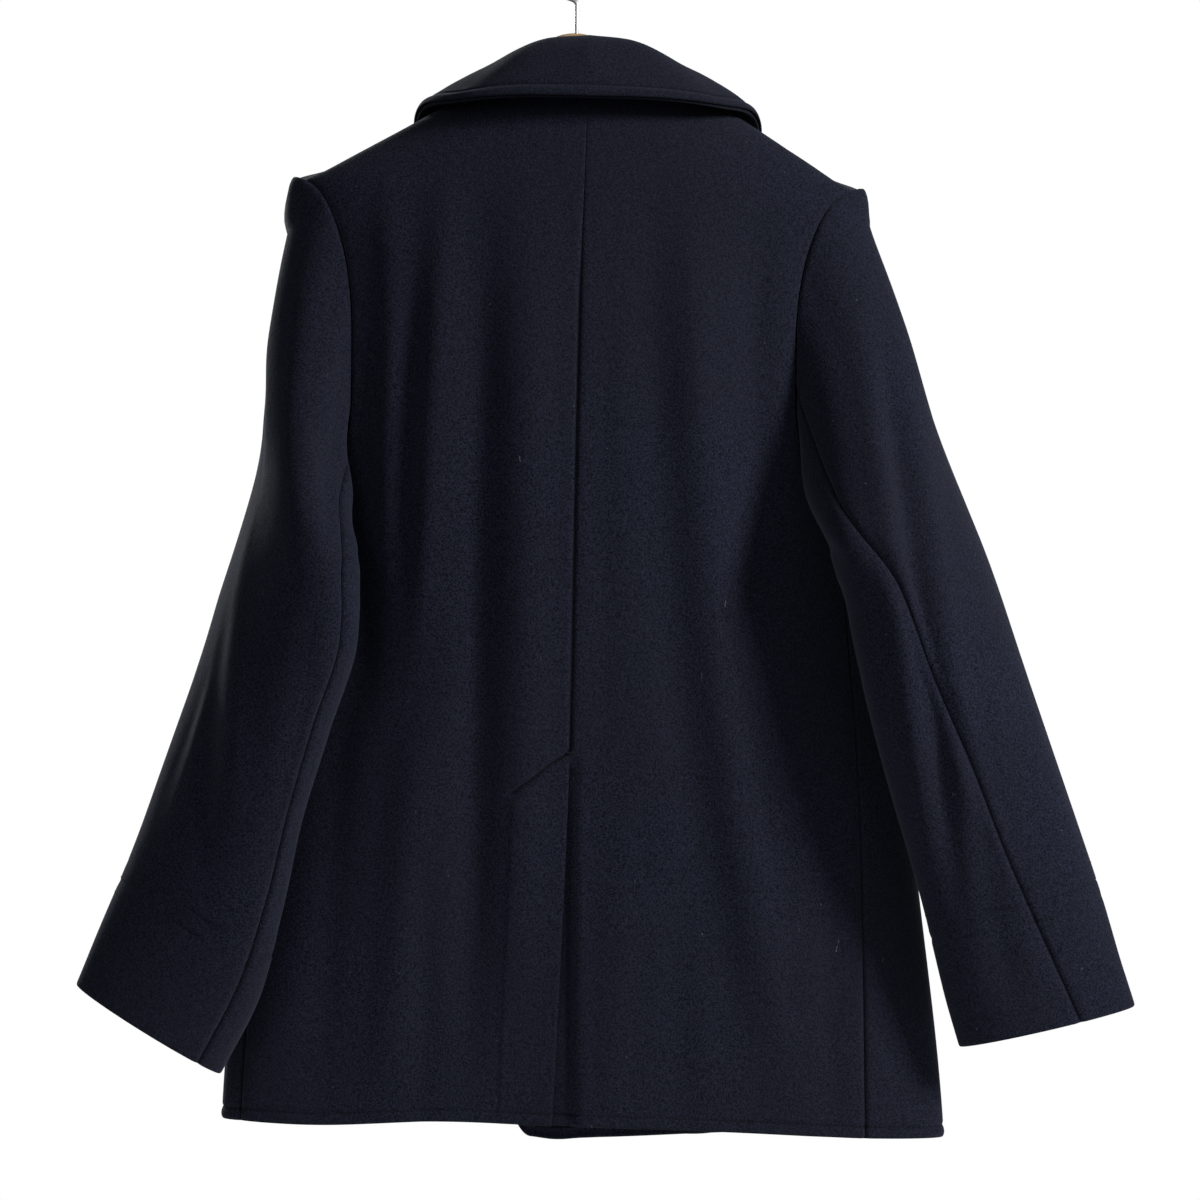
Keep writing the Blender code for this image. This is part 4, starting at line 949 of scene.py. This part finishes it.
def sleeve_face(side, share, place):
    """The sleeve's outer face, a row for each share of its length and a column for each place round it.
    Near the armhole the ovals are drawn to the seam, and everywhere they stay clear of the body."""
    share = share[:, None]
    places = [0, ELBOW_PLACE[side], FRONT_PLACE, 1]
    elbow, front = (read(SLEEVE[side], name, share[:, 0]) for name in ("elbow", "front"))
    angle = np.stack([np.interp(place % 1, places, [0, e, f, 360]) for e, f in zip(elbow, front)])
    points = sleeve_section(side, share, np.radians(angle))
    ring = armhole_ring(side, place % 1)
    start = sleeve_section(side, np.zeros((1, 1)), np.radians(angle[:1]))
    points = points + (ring - start) * (1 - smooth(share / 0.36))[..., None]
    inner = smooth((-np.cos(np.radians(angle)) - 0.1) / 0.7) * smooth(share / 0.1)
    bulge = read(INNER_BULGE, side, points[..., 2]) * inner
    points[..., 0] -= SIGN[side] * bulge
    points[..., 1] += 0.3 * np.abs(bulge)
    whole = armhole_ring(side, np.arange(72) / 72)
    inward = whole.mean(axis=0) - ring
    inward /= np.linalg.norm(inward, axis=-1, keepdims=True)
    lowness = smooth((whole[:, 2].mean() - ring[:, 2]) / 0.1)
    tucked = ARMHOLE_TUCK * (1 + 2 * np.exp(-((ring[:, 2] - TIP_Z) ** 2) / 0.03**2))
    seam = ring - inward * tucked[:, None] + body_normal(ring) * 0.0012 * lowness[:, None]
    down_arm = smooth(share / 0.2)
    wanted = SLEEVE_CLEARANCE * (2 - down_arm)
    gap = 0.0016 + (wanted - 0.0016) * np.maximum(lowness, down_arm)
    clear = clear_of_body(points, gap)
    joined = smooth(share / 0.05)[..., None]
    return seam + (clear - seam) * joined**0.6


sleeve_lines = []
for side in SIGN:
    elbow = ELBOW_PLACE[side]
    spans = {"under": (elbow, FRONT_PLACE), "top": (FRONT_PLACE, 1 + elbow)}
    cuff = [0, 0.0003, 0.0009, 0.0017, 0.0026, 0.0038, 0.0054, 0.0075]
    for at in CUFF_ROWS:
        cuff += [at - 0.0028, at - 0.0018, at - 0.0009, at, at + 0.0009, at + 0.0018, at + 0.0028]
    share = spaced(SLEEVE_LENGTH, (0, 0.0004, 0.0012, 0.0024, 0.004, 0.006, 0.009), cuff, 0.0042)
    share = np.sort(np.concatenate([share, 1 - np.linspace(0.012, 0.080, 17) / SLEEVE_LENGTH]))
    for part, (first, last) in spans.items():
        place = first + (last - first) * spaced(0.40 * (last - first) / 0.5, NEAR_SEAM, NEAR_SEAM, 0.0042)
        face = sleeve_face(side, share, place)
        normal = grid_normal(face)
        whole = sleeve_face(side, share, np.arange(24) / 24)
        away = face - whole.mean(axis=1, keepdims=True)
        if (normal * away).sum() < 0:
            normal = -normal
        seat = body_normal(armhole_ring(side, place % 1))
        from_armhole, from_cuff, inner, outer = edge_distances(face)
        meet = np.exp(-from_armhole / 0.004)[..., None] * WOOL_THICKNESS / 2
        face = face + (normal - seat) * meet
        behind = smooth((away[..., 1] + 0.004) / 0.016)
        hold = smooth(from_armhole / 0.06) * smooth(from_cuff / 0.05)
        hold = hold * smooth(inner / 0.012) * smooth(outer / 0.012)
        shape = folds(face, SLEEVE_BACK_FOLDS) * behind + folds(face, SLEEVE_FRONT_FOLDS) * (1 - behind)
        rise = (shape + ripple(face, 4.0 + SIGN[side])) * hold
        tip = np.linalg.norm(face - body_at(side, 1.0, TIP_Z), axis=-1)
        rise = rise + pinch(inner) + pinch(outer) + pinch(from_armhole) * smooth(tip / 0.03)
        dark = 0 * rise
        # Painted shade along the two cuff rows of topstitching, where their grooves are shaded.
        for at in CUFF_ROWS:
            line = bell(from_cuff - at, 0.0011)
            rise = rise - 0.0006 * line
            dark = dark + 0.4 * line
        draped = face + normal * rise[..., None] + shoulder_lift(face, side)
        thick = WOOL_THICKNESS + 0.0018 * (1 - smooth((from_cuff - HEM_TURN_UP) / TURN_UP_FADE))
        radii = (SEAM_ROUND, EDGE_ROUND, SEAM_ROUND, SEAM_ROUND)
        name = f"{part}_sleeve_{side}"
        piece, shown = cloth(name + "_cloth", draped, normal, radii, WOOL, thick, dark)
        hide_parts(name)
        for at in CUFF_ROWS:
            row = np.argmin(np.abs(share - (1 - at / SLEEVE_LENGTH)))
            sleeve_lines.append((shown[row, 2:-2], normal[row, 2:-2]))
stitches("sleeve_topstitching", sleeve_lines, 0.0036, 0.0026, 0.00024)


# The collar: an under collar whose stand rises from the neck seam, and a top collar over it that rolls at
# the top of the stand and falls over the shoulders. The two are bagged out and topstitched round the fall.

COLLAR_X = -0.010
FOLD_RADIUS = 0.0065
COLLAR_STITCH = 0.0095
COLLAR = table(
    "share nx ny nz fx fy fz ex ey ez",
    (
        (0.00, 0.000, 0.031, -0.1150, 0.000, 0.031, -0.0762, 0.000, 0.066, -0.1245),
        (0.20, 0.032, 0.027, -0.1125, 0.030, 0.026, -0.0785, 0.054, 0.062, -0.1245),
        (0.40, 0.056, 0.014, -0.1070, 0.047, 0.010, -0.0850, 0.100, 0.045, -0.1270),
        (0.58, 0.066, -0.006, -0.1020, 0.053, -0.012, -0.0930, 0.127, 0.006, -0.1285),
        (0.78, 0.062, -0.034, -0.1150, 0.052, -0.042, -0.1090, 0.133, -0.054, -0.1500),
        (1.00, 0.052, -0.062, -0.1460, 0.046, -0.068, -0.1400, 0.118, -0.080, -0.1960),
    ),
)


def collar_part(name, places):
    """The neck seam (n), the fold (f) or the outer edge (e) at places from -1 to 1 round the collar."""
    near = np.abs(places)
    x = np.where(places < 0, -1, 1) * read(COLLAR, name + "x", near)
    return np.stack([COLLAR_X + x, read(COLLAR, name + "y", near), read(COLLAR, name + "z", near)], axis=-1)


def collar_surface(places, fall):
    """The collar's middle surface: straight up the stand, round the fold on a quarter circle, and down the
    fall on a cubic that leaves the fold level and meets the edge steeply."""
    neck, fold, edge = (collar_part(name, places) for name in "nfe")
    out = (edge - fold) * (1, 1, 0)
    out /= np.linalg.norm(out, axis=-1, keepdims=True)
    up = np.array([0, 0, 1.0])
    corner = fold - (out + up) * FOLD_RADIUS
    stand = [neck + (corner - neck) * t for t in np.linspace(0, 1, 9)]
    arc = [
        fold - up * FOLD_RADIUS + (up * math.sin(a) - out * math.cos(a)) * FOLD_RADIUS
        for a in np.radians(range(15, 91, 15))
    ]
    near = fold + out * 0.014
    far = edge + (fold - edge) * 0.35 + up * 0.008
    drop = [
        fold * (1 - t) ** 3 + 3 * near * t * (1 - t) ** 2 + 3 * far * t * t * (1 - t) + edge * t**3
        for t in fall
    ]
    return np.stack(stand + arc + drop, axis=1)


collar_places = -1 + 2 * spaced(0.42, NEAR_EDGE, NEAR_EDGE, 0.0036)
collar_fall = spaced(0.075, (0.003, 0.006), NEAR_EDGE, 0.0028)
middle = collar_surface(collar_places, collar_fall)
normal = grid_normal(middle)
if normal[len(middle) // 2, -20, 2] < 0:
    normal = -normal
near_end, far_end, from_neck, from_edge = edge_distances(middle)
on_fall = smooth((from_neck - 0.048) / 0.02)
seam_side = np.minimum(np.minimum(near_end, far_end), from_edge)
rise = (groove(seam_side, COLLAR_STITCH) + 0.0008 * bell(seam_side - 0.004, 0.003)) * on_fall
angle = collar_places[:, None] * np.pi
waves = 0.0011 * np.sin(3.1 * angle + 0.6) + 0.0006 * np.sin(7.3 * angle + 1.9)
rise = rise + on_fall * smooth(from_edge / 0.02) * waves
# Painted shade along the collar's topstitching, where its groove is shaded.
dark = 0.6 * bell(seam_side - COLLAR_STITCH, 0.0010) * on_fall
top = middle + normal * (0.0027 + rise)[..., None]
radii = (0.0026, 0.0026, 0.0026, 0.0030)
piece, shown = cloth("top_collar_cloth", top, normal, radii, WOOL, WOOL_THICKNESS, dark)
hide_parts("top_collar")
row = STITCH_ROW
line_column = len(collar_fall) + 15 - 1 - row
collar_lines = [(shown[row:-row, line_column], normal[row:-row, line_column])]
for end in (row, len(collar_places) - 1 - row):
    columns = slice(np.argmax(on_fall[end] > 0.5), line_column + 1)
    collar_lines.append((shown[end, columns], normal[end, columns]))
under_face = middle - normal * 0.0003
under_piece, _ = cloth("under_collar_cloth", under_face, normal, radii, WOOL)
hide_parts("under_collar")
stitches("collar_topstitching", collar_lines)


# The lapels: the tops of the front edges, turned back at the roll line and pressed. Each is joined to the
# collar's end by the gorge seam, with a notch left open above its point, and topstitched along its edge.

LAPEL_TIP = (0.128, -0.232)
LAPEL_BULGE, GORGE_SHARE = 0.012, 0.55
LAPEL_FROM = {"left": 0.0, "right": 0.3}
LAPEL_GAP = {"left": 0.0024, "right": 0.0006}


def lapel_surface(side, up, out):
    """Rows up the roll line from the break to the gorge, columns from the roll line to the outer edge. The
    edge is a straight line with a sine's bulge, and the top follows the collar's end, then the notch."""
    sign = SIGN[side]
    up, out = up[:, None], out[None, :]
    fold, tip = collar_part("f", np.array(1.0)), collar_part("e", np.array(1.0))
    gorge = np.array([COLLAR_X + sign * (fold[0] - COLLAR_X), fold[2] - 0.0095])
    collar_tip = np.array([COLLAR_X + sign * (tip[0] - COLLAR_X), tip[2] - 0.003])
    point = np.array([COLLAR_X + sign * LAPEL_TIP[0], LAPEL_TIP[1]])
    roll_z = BREAK_Z + up * (gorge[1] - BREAK_Z)
    roll = np.stack([read(EDGE, side, roll_z), roll_z], axis=-1)
    start = np.array([float(read(EDGE, side, BREAK_Z)), BREAK_Z])
    outward = np.array([sign * 0.865, -0.502])
    rim = start + up[..., None] * (point - start)
    rim = rim + outward * (LAPEL_BULGE * np.sin(np.pi * up)[..., None] + 0.004)
    flat = roll * (1 - out[..., None]) + rim * out[..., None]
    notch = gorge + (collar_tip - gorge) * GORGE_SHARE
    along_collar = gorge + np.minimum(out / GORGE_SHARE, 1)[..., None] * (notch - gorge)
    beyond = np.clip((out - GORGE_SHARE) / (1 - GORGE_SHARE), 0, 1)[..., None]
    top = np.where(out[..., None] < GORGE_SHARE, along_collar, notch + (point - notch) * beyond)
    straight = gorge * (1 - out[..., None]) + point * out[..., None]
    flat = flat + (top - straight) * up[..., None] ** 5
    return on_face("front", flat[..., 0], flat[..., 1])


lapel_lines = []
for side in SIGN:
    first = LAPEL_FROM[side]
    up_share = first + (1 - first) * spaced(0.26, NEAR_SEAM, NEAR_EDGE, 0.0034)
    out_share = spaced(0.145, (0, 0.0005, 0.0014, 0.0028, 0.0045), NEAR_EDGE, 0.0032)
    base = lapel_surface(side, up_share, out_share)
    normal = body_normal(base)
    under = overlap_lift(base) if side == "left" else 0 * base[..., 0]
    spring = 0.0022 * np.sin(np.pi * out_share)[None, :] * np.linspace(0.3, 1, len(base))[:, None]
    if side == "right":
        spring = spring * smooth((np.linspace(0, 1, len(base))[:, None] - 0.3) / 0.4)
    _, from_top, from_roll, from_edge = edge_distances(base)
    near = np.minimum(from_edge, from_top + 0.004)
    rise = under + LAPEL_GAP[side] + spring + 0.0022 + groove(near, HEM_STITCH)
    rise = rise + ripple(base, 5.0) * smooth(near / 0.03)
    roll_over = smooth(from_roll / 0.012)
    rise = rise - 0.0028 * (1 - roll_over) ** 2
    # Painted shade along the lapel's topstitching, where its groove is shaded.
    dark = stitch_shade(near, HEM_STITCH)
    piece, shown = cloth(
        f"lapel_{side}_cloth",
        base + normal * rise[..., None],
        normal,
        (EDGE_ROUND, EDGE_ROUND, 0.0035, EDGE_ROUND),
        WOOL,
        WOOL_THICKNESS,
        dark,
    )
    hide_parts(f"lapel_{side}")
    column = len(out_share) - 1 - STITCH_ROW
    lapel_lines.append((shown[3:-5, column], normal[3:-5, column]))
stitches("lapel_topstitching", lapel_lines)


# The pocket welts: folded strips standing over the slanted openings of the hand-warmer pockets, sewn down
# at both ends and topstitched along the fold.

WELT_X = {"left": 0.150, "right": -0.185}
WELT_Z, WELT_LENGTH, WELT_WIDTH, WELT_LEAN = -0.600, 0.165, 0.028, math.radians(8)
WELT_STITCH = 0.0054  # from the edge
welt_lines = []
for side in SIGN:
    sign = SIGN[side]
    along = ((spaced(WELT_LENGTH, NEAR_EDGE[:9], NEAR_EDGE[:9], 0.003) - 0.5) * WELT_LENGTH)[:, None]
    over = ((spaced(WELT_WIDTH, NEAR_EDGE[:9], NEAR_EDGE[:9], 0.002) - 0.5) * WELT_WIDTH)[None, :]
    x = WELT_X[side] + sign * (over * math.cos(WELT_LEAN) - along * math.sin(WELT_LEAN))
    z = WELT_Z + along * math.cos(WELT_LEAN) + over * math.sin(WELT_LEAN)
    base = on_face("front", x, z)
    normal = body_normal(base)
    low, high, inner, outer = edge_distances(base)
    near = np.minimum(np.minimum(low, high), np.minimum(inner, outer))
    rise = front_rise(base, side) + 0.0030 + groove(near, WELT_STITCH)
    # Painted shade along the welt's topstitching, where its groove is shaded.
    dark = stitch_shade(near, WELT_STITCH)
    piece, shown = cloth(
        f"pocket_welt_{side}_cloth",
        base + normal * rise[..., None],
        normal,
        (0.0022,) * 4,
        WOOL,
        0.0030,
        dark,
    )
    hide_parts(f"pocket_welt_{side}")
    k = 6
    last_row, last_column = len(along) - 1 - k, over.shape[1] - 1 - k
    for line in (
        (slice(k, last_row + 1), k),
        (slice(k, last_row + 1), last_column),
        (k, slice(k, last_column + 1)),
        (last_row, slice(k, last_column + 1)),
    ):
        welt_lines.append((shown[line], normal[line]))
stitches("welt_topstitching", welt_lines)


# The buttons: six moulded discs with a raised rim, a dished middle and four holes, sewn through with
# thread in two bars and stood off the cloth on a short thread shank.

BUTTON_STANDOFF = 0.0008  # the thread shank
BUTTON_ROW_Z = (-0.405, -0.520, -0.635)
BUTTON_FROM_EDGE, BUTTON_SPACING = 0.028, 0.145
HOLE_PLACE, HOLE_RADIUS = 0.0026, 0.0011
BUTTON_PROFILE = table(
    "run radius height",
    (
        (0.00, 0.0000, 0.0026),
        (0.22, 0.0052, 0.0026),
        (0.40, 0.0092, 0.0030),
        (0.48, 0.0108, 0.0040),
        (0.56, 0.0124, 0.0047),
        (0.64, 0.0142, 0.0047),
        (0.72, 0.0158, 0.0040),
        (0.78, 0.0165, 0.0028),
        (0.85, 0.0158, 0.0013),
        (0.92, 0.0120, 0.0003),
        (1.00, 0.0000, 0.0002),
    ),
)


def button_plastic():
    """Dark moulded plastic with a faint swirl, scuffed a little on its rim."""
    made, tree, shader, place = start_material("button_plastic", Coat_Weight=0.25, Coat_Roughness=0.2)
    swirl = noise(tree, place, 260, 5.0, 0.6)
    scuff = noise(tree, place, 1800, 3.0, 0.7)
    swirl = stretch(tree, swirl, 0.4, 0.65)
    colour = blend_colours(tree, swirl, (0.006, 0.0065, 0.009), (0.017, 0.017, 0.021))
    tree.links.new(colour, shader.inputs["Base Color"])
    tree.links.new(stretch(tree, scuff, 0.0, 2.2), shader.inputs["Roughness"])
    bump = add_node(tree, "ShaderNodeBump", {"Strength": 0.15, "Distance": 0.0002, "Height": scuff})
    tree.links.new(bump.outputs[0], shader.inputs["Normal"])
    return made


PLASTIC = button_plastic()


def button_points():
    """Rings from the middle of the face out round the rim and in again beneath, with four pits: each a
    smooth step down where the distance from a hole's centre is under its radius."""
    run = np.concatenate([np.linspace(0, 0.34, 27), np.linspace(0.36, 0.92, 40), [0.96, 1.0]])
    angle = np.linspace(0, 2 * np.pi, 96, endpoint=False)
    radius = read(BUTTON_PROFILE, "radius", run)[:, None] + 0 * angle
    height = read(BUTTON_PROFILE, "height", run)[:, None] + 0 * angle
    x, y = radius * np.cos(angle), radius * np.sin(angle)
    for sx in (-1, 1):
        for sy in (-1, 1):
            gap = np.hypot(x - sx * HOLE_PLACE, y - sy * HOLE_PLACE)
            height = height - 0.0017 * (1 - smooth((gap - HOLE_RADIUS) / 0.0005)) * (run[:, None] < 0.5)
    return np.stack([x, y, height], axis=-1)


def tube_faces(rows, columns, start=0):
    """Quads of a grid that closes round its columns."""
    here = start + np.arange(rows - 1)[:, None] * columns + np.arange(columns)
    after = start + np.arange(rows - 1)[:, None] * columns + (np.arange(columns) + 1) % columns
    return np.stack([here, here + columns, after + columns, after], axis=-1).reshape(-1, 4)


button_threads = []
number = 0
for z in BUTTON_ROW_Z:
    edge = float(read(EDGE, "left", z))
    for x in (edge + BUTTON_FROM_EDGE, edge + BUTTON_FROM_EDGE + BUTTON_SPACING):
        number += 1
        base = on_face("front", np.array(x), np.array(z))
        normal = body_normal(base)
        lift = float(front_rise(base, "left")) + BUTTON_STANDOFF
        turned = np.array(Vector(normal).to_track_quat("Z", "Y").to_matrix())
        spin = np.array(Matrix.Rotation(math.radians(17 * number + 9), 3, "Z"))
        local = button_points()
        points = local.reshape(-1, 3) @ (turned @ spin).T + base + normal * lift
        faces = tube_faces(*local.shape[:2])
        piece = add_mesh(f"button_{number}_disc", points, faces, PLASTIC)
        merge = piece.modifiers.new("poles", "WELD")
        merge.merge_threshold = 0.00002
        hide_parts(f"button_{number}")
        for sx in (-1, 1):
            for shift in (-0.00045, 0.0, 0.00045):
                t = np.linspace(-1, 1, 9)
                across = np.full(len(t), sx * HOLE_PLACE + shift)
                bow = 0.0030 + 0.0002 * (1 - t**4) - 0.0008 * t**8
                bar = np.stack([across, t * (HOLE_PLACE + 0.0005), bow], axis=-1)
                way = np.tile((turned @ spin) @ np.array([0, 0, 1.0]), (len(t), 1))
                button_threads.append((bar @ (turned @ spin).T + base + normal * lift, way))
stitches("button_thread", button_threads, 0.0061, 0.0060, 0.00024)


# The hanger: a bar of light lacquered hardwood, level at its neck and bent down under both shoulders, and
# a hook of steel wire screwed into the neck.

BAR = table(
    "share x z height depth y",
    (
        (-1.00, -0.194, -0.1885, 0.015, 0.024, -0.004),
        (-0.90, -0.176, -0.1785, 0.017, 0.026, -0.004),
        (-0.60, -0.118, -0.1480, 0.020, 0.024, -0.003),
        (-0.36, -0.068, -0.1270, 0.022, 0.018, -0.001),
        (-0.22, -0.036, -0.1060, 0.028, 0.015, 0.0),
        (-0.10, -0.016, -0.0905, 0.034, 0.014, 0.0),
        (0.00, 0.000, -0.0870, 0.038, 0.014, 0.0),
        (0.10, 0.0135, -0.0905, 0.034, 0.014, 0.0),
        (0.22, 0.0245, -0.1160, 0.024, 0.014, 0.0),
        (0.36, 0.054, -0.1275, 0.022, 0.018, -0.001),
        (0.60, 0.106, -0.1510, 0.020, 0.022, -0.003),
        (0.90, 0.168, -0.1815, 0.017, 0.024, -0.004),
        (1.00, 0.186, -0.1905, 0.015, 0.024, -0.004),
    ),
)
HANGER_NECK_Z, WIRE_RADIUS, HOOK_RADIUS = -0.068, 0.0017, 0.0205


def hardwood():
    """Lacquered beech: long grain along the bar, with darker flecks and a clear coat."""
    made, tree, shader, place = start_material(
        "hardwood", Roughness=0.42, Coat_Weight=0.5, Coat_Roughness=0.15
    )
    along = shaped(tree, place, (14.0, 160.0, 130.0))
    inputs = {"Vector": along, "Scale": 1.0, "Detail": 5.0, "Distortion": 0.6}
    grain = add_node(tree, "ShaderNodeTexNoise", inputs).outputs[0]
    flecks = shaped(tree, place, (160.0, 1100.0, 1100.0))
    fleck = add_node(tree, "ShaderNodeTexNoise", {"Vector": flecks, "Scale": 1.0, "Detail": 2.0}).outputs[0]
    base = blend_colours(tree, stretch(tree, grain, 0.3, 0.72), (0.62, 0.40, 0.20), (0.44, 0.25, 0.105))
    amount = times(tree, stretch(tree, fleck, 0.6, 0.75), 0.5)
    colour = blend_colours(tree, amount, base, (0.28, 0.14, 0.055))
    tree.links.new(colour, shader.inputs["Base Color"])
    bump = add_node(tree, "ShaderNodeBump", {"Strength": 0.2, "Distance": 0.0004, "Height": grain})
    tree.links.new(bump.outputs[0], shader.inputs["Normal"])
    return made


def drawn_steel():
    """Bright drawn wire with fine scratches along it."""
    made, tree, shader, place = start_material("drawn_steel", Metallic=1.0)
    along = shaped(tree, place, (900.0, 900.0, 60.0))
    lines = add_node(tree, "ShaderNodeTexNoise", {"Vector": along, "Scale": 1.0, "Detail": 3.0}).outputs[0]
    colour = blend_colours(tree, lines, (0.58, 0.58, 0.60), (0.82, 0.82, 0.83))
    tree.links.new(colour, shader.inputs["Base Color"])
    tree.links.new(stretch(tree, lines, -0.9, 2.6), shader.inputs["Roughness"])
    return made


def bar_points(share, angle):
    """Ovals carried along the bar and leaned with its slope, drawn in to a round end at both tips."""
    x, z, y = (read(BAR, name, share) for name in ("x", "z", "y"))
    slope = np.gradient(z[:, 0], x[:, 0])[:, None]
    lean = np.sqrt(1 + slope**2)
    end = np.clip(1 - np.abs(share), 0, 0.06) / 0.06
    swell = 0.02 + 0.98 * np.sqrt(1 - (1 - end) ** 2)
    up = read(BAR, "height", share) / 2 * swell * np.sin(angle)
    side_on = np.sign(np.cos(angle)) * np.abs(np.cos(angle)) ** 0.8
    through = read(BAR, "depth", share) / 2 * swell * side_on
    return np.stack([x - up * slope / lean, y + through, z + up / lean], axis=-1)


tip_share = -1 + 0.06 * (1 - np.cos(np.linspace(0, np.pi / 2, 14)))
bar_share = np.concatenate([tip_share, np.linspace(-0.93, 0.93, 170), -tip_share[::-1]])[:, None]
local = bar_points(bar_share, np.linspace(0, 2 * np.pi, 56, endpoint=False)[None, :])
faces = tube_faces(*local.shape[:2]).tolist()
faces.append(list(range(56)))
faces.append([(len(local) - 1) * 56 + k for k in range(55, -1, -1)])
points = local.reshape(-1, 3)
piece = add_mesh("hanger_bar_wood", points, faces, hardwood())
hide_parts("hanger_bar")

ring_radius = HOOK_RADIUS + WIRE_RADIUS
stem_top = -HOOK_RADIUS - ring_radius - 0.004
turns = np.radians(np.linspace(-60, 195, 90))
stem = np.stack([np.zeros(12), np.zeros(12), np.linspace(HANGER_NECK_Z - 0.006, stem_top, 12)], axis=-1)
ring = np.stack([np.cos(turns), 0 * turns, np.sin(turns)], axis=-1) * ring_radius - (0, 0, HOOK_RADIUS)
t = np.linspace(0, 1, 10)[1:-1, None]
leave = stem[-1] + np.array([0, 0, 0.0050])
meet = ring[0] - np.array([-math.sin(turns[0]), 0, math.cos(turns[0])]) * 0.0050
bend = stem[-1] * (1 - t) ** 3 + 3 * leave * t * (1 - t) ** 2
bend = bend + 3 * meet * t * t * (1 - t) + ring[0] * t**3
path = np.concatenate([stem, bend, ring])
ahead = np.gradient(path, axis=0)
ahead /= np.linalg.norm(ahead, axis=-1, keepdims=True)
beside = np.tile([0, 1.0, 0], (len(path), 1))
outward = np.cross(beside, ahead)
angle = np.linspace(0, 2 * np.pi, 20, endpoint=False)
thin = np.ones(len(path))
thin[-3:] = (0.95, 0.75, 0.35)
section = np.cos(angle)[:, None] * outward[:, None] + np.sin(angle)[:, None] * beside[:, None]
local = path[:, None] + section * (WIRE_RADIUS * thin)[:, None, None]
faces = tube_faces(*local.shape[:2]).tolist()
faces.append(list(range(20)))
faces.append([(len(local) - 1) * 20 + k for k in range(19, -1, -1)])
piece = add_mesh("hanger_hook_wire", local.reshape(-1, 3), faces, drawn_steel())
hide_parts("hanger_hook")


# The studio: a pale floor well under the hem, pale air all round, and broad soft lights.

FLOOR_Z, FLOOR_RADIUS = -1.25, 1.6


def floor_paint():
    """Matt off-white paint with the faintest unevenness."""
    made, tree, shader, place = start_material("floor_paint", Roughness=0.8)
    shade = noise(tree, place, 3.0)
    colour = blend_colours(tree, shade, (0.80, 0.80, 0.80), (0.84, 0.84, 0.84))
    tree.links.new(colour, shader.inputs["Base Color"])
    return made


ring_angle = np.linspace(0, 2 * np.pi, 96, endpoint=False)
disc = np.stack([np.cos(ring_angle), np.sin(ring_angle), 0 * ring_angle], axis=-1) * FLOOR_RADIUS
disc = disc + (0, 0, FLOOR_Z)
mesh = bpy.data.meshes.new("floor")
mesh.from_pydata(disc.tolist(), [], [list(range(96))])
mesh.materials.append(floor_paint())
floor = bpy.data.objects.new("floor", mesh)
bpy.context.scene.collection.objects.link(floor)

SKY_LIGHT = 0.09  # how strongly the sky lights the coat, where the camera sees it as 1
world = bpy.data.worlds.new("pale studio")
bpy.context.scene.world = world
world.use_nodes = True
sky = world.node_tree
seen = sky.nodes.new("ShaderNodeLightPath").outputs["Is Camera Ray"]
sky.nodes["Background"].inputs["Color"].default_value = (1.0, 1.0, 1.0, 1)
strength = plus(sky, times(sky, seen, 1 - SKY_LIGHT), SKY_LIGHT)
sky.links.new(strength, sky.nodes["Background"].inputs["Strength"])
bpy.context.scene.view_settings.view_transform = "Standard"


def soft_light(name, place, aim, width, power):
    """A square area light at a place, turned to its aim."""
    lamp = bpy.data.lights.new(name, "AREA")
    lamp.shape = "SQUARE"
    lamp.size = width
    lamp.energy = power
    made = bpy.data.objects.new(name, lamp)
    bpy.context.scene.collection.objects.link(made)
    made.location = place
    made.rotation_euler = (Vector(aim) - Vector(place)).to_track_quat("-Z", "Y").to_euler()


soft_light("key behind", (-2.3, 1.30, 0.65), (0, 0, -0.38), 0.6, 76)
soft_light("fill behind", (1.1, 3.0, 0.5), (0, 0, -0.5), 1.4, 13)
soft_light("key front", (1.7, -2.5, 0.65), (0, 0, -0.38), 0.6, 62)
soft_light("fill front", (-1.3, -2.9, 0.4), (0, 0, -0.5), 1.4, 16)

# The camera looks level at the coat's back from 3 m, turned a little about its own axis.

lens = bpy.data.cameras.new("camera")
lens.lens = 120
lens.sensor_width = 36
camera = bpy.data.objects.new("camera", lens)
bpy.context.scene.collection.objects.link(camera)
roll = Matrix.Rotation(math.radians(1.2), 4, "Z")
facing = Matrix.Rotation(math.pi, 4, "Z") @ Matrix.Rotation(math.pi / 2, 4, "X") @ roll
camera.matrix_world = Matrix.Translation((-0.027, 3.05, -0.4996)) @ facing
bpy.context.scene.camera = camera
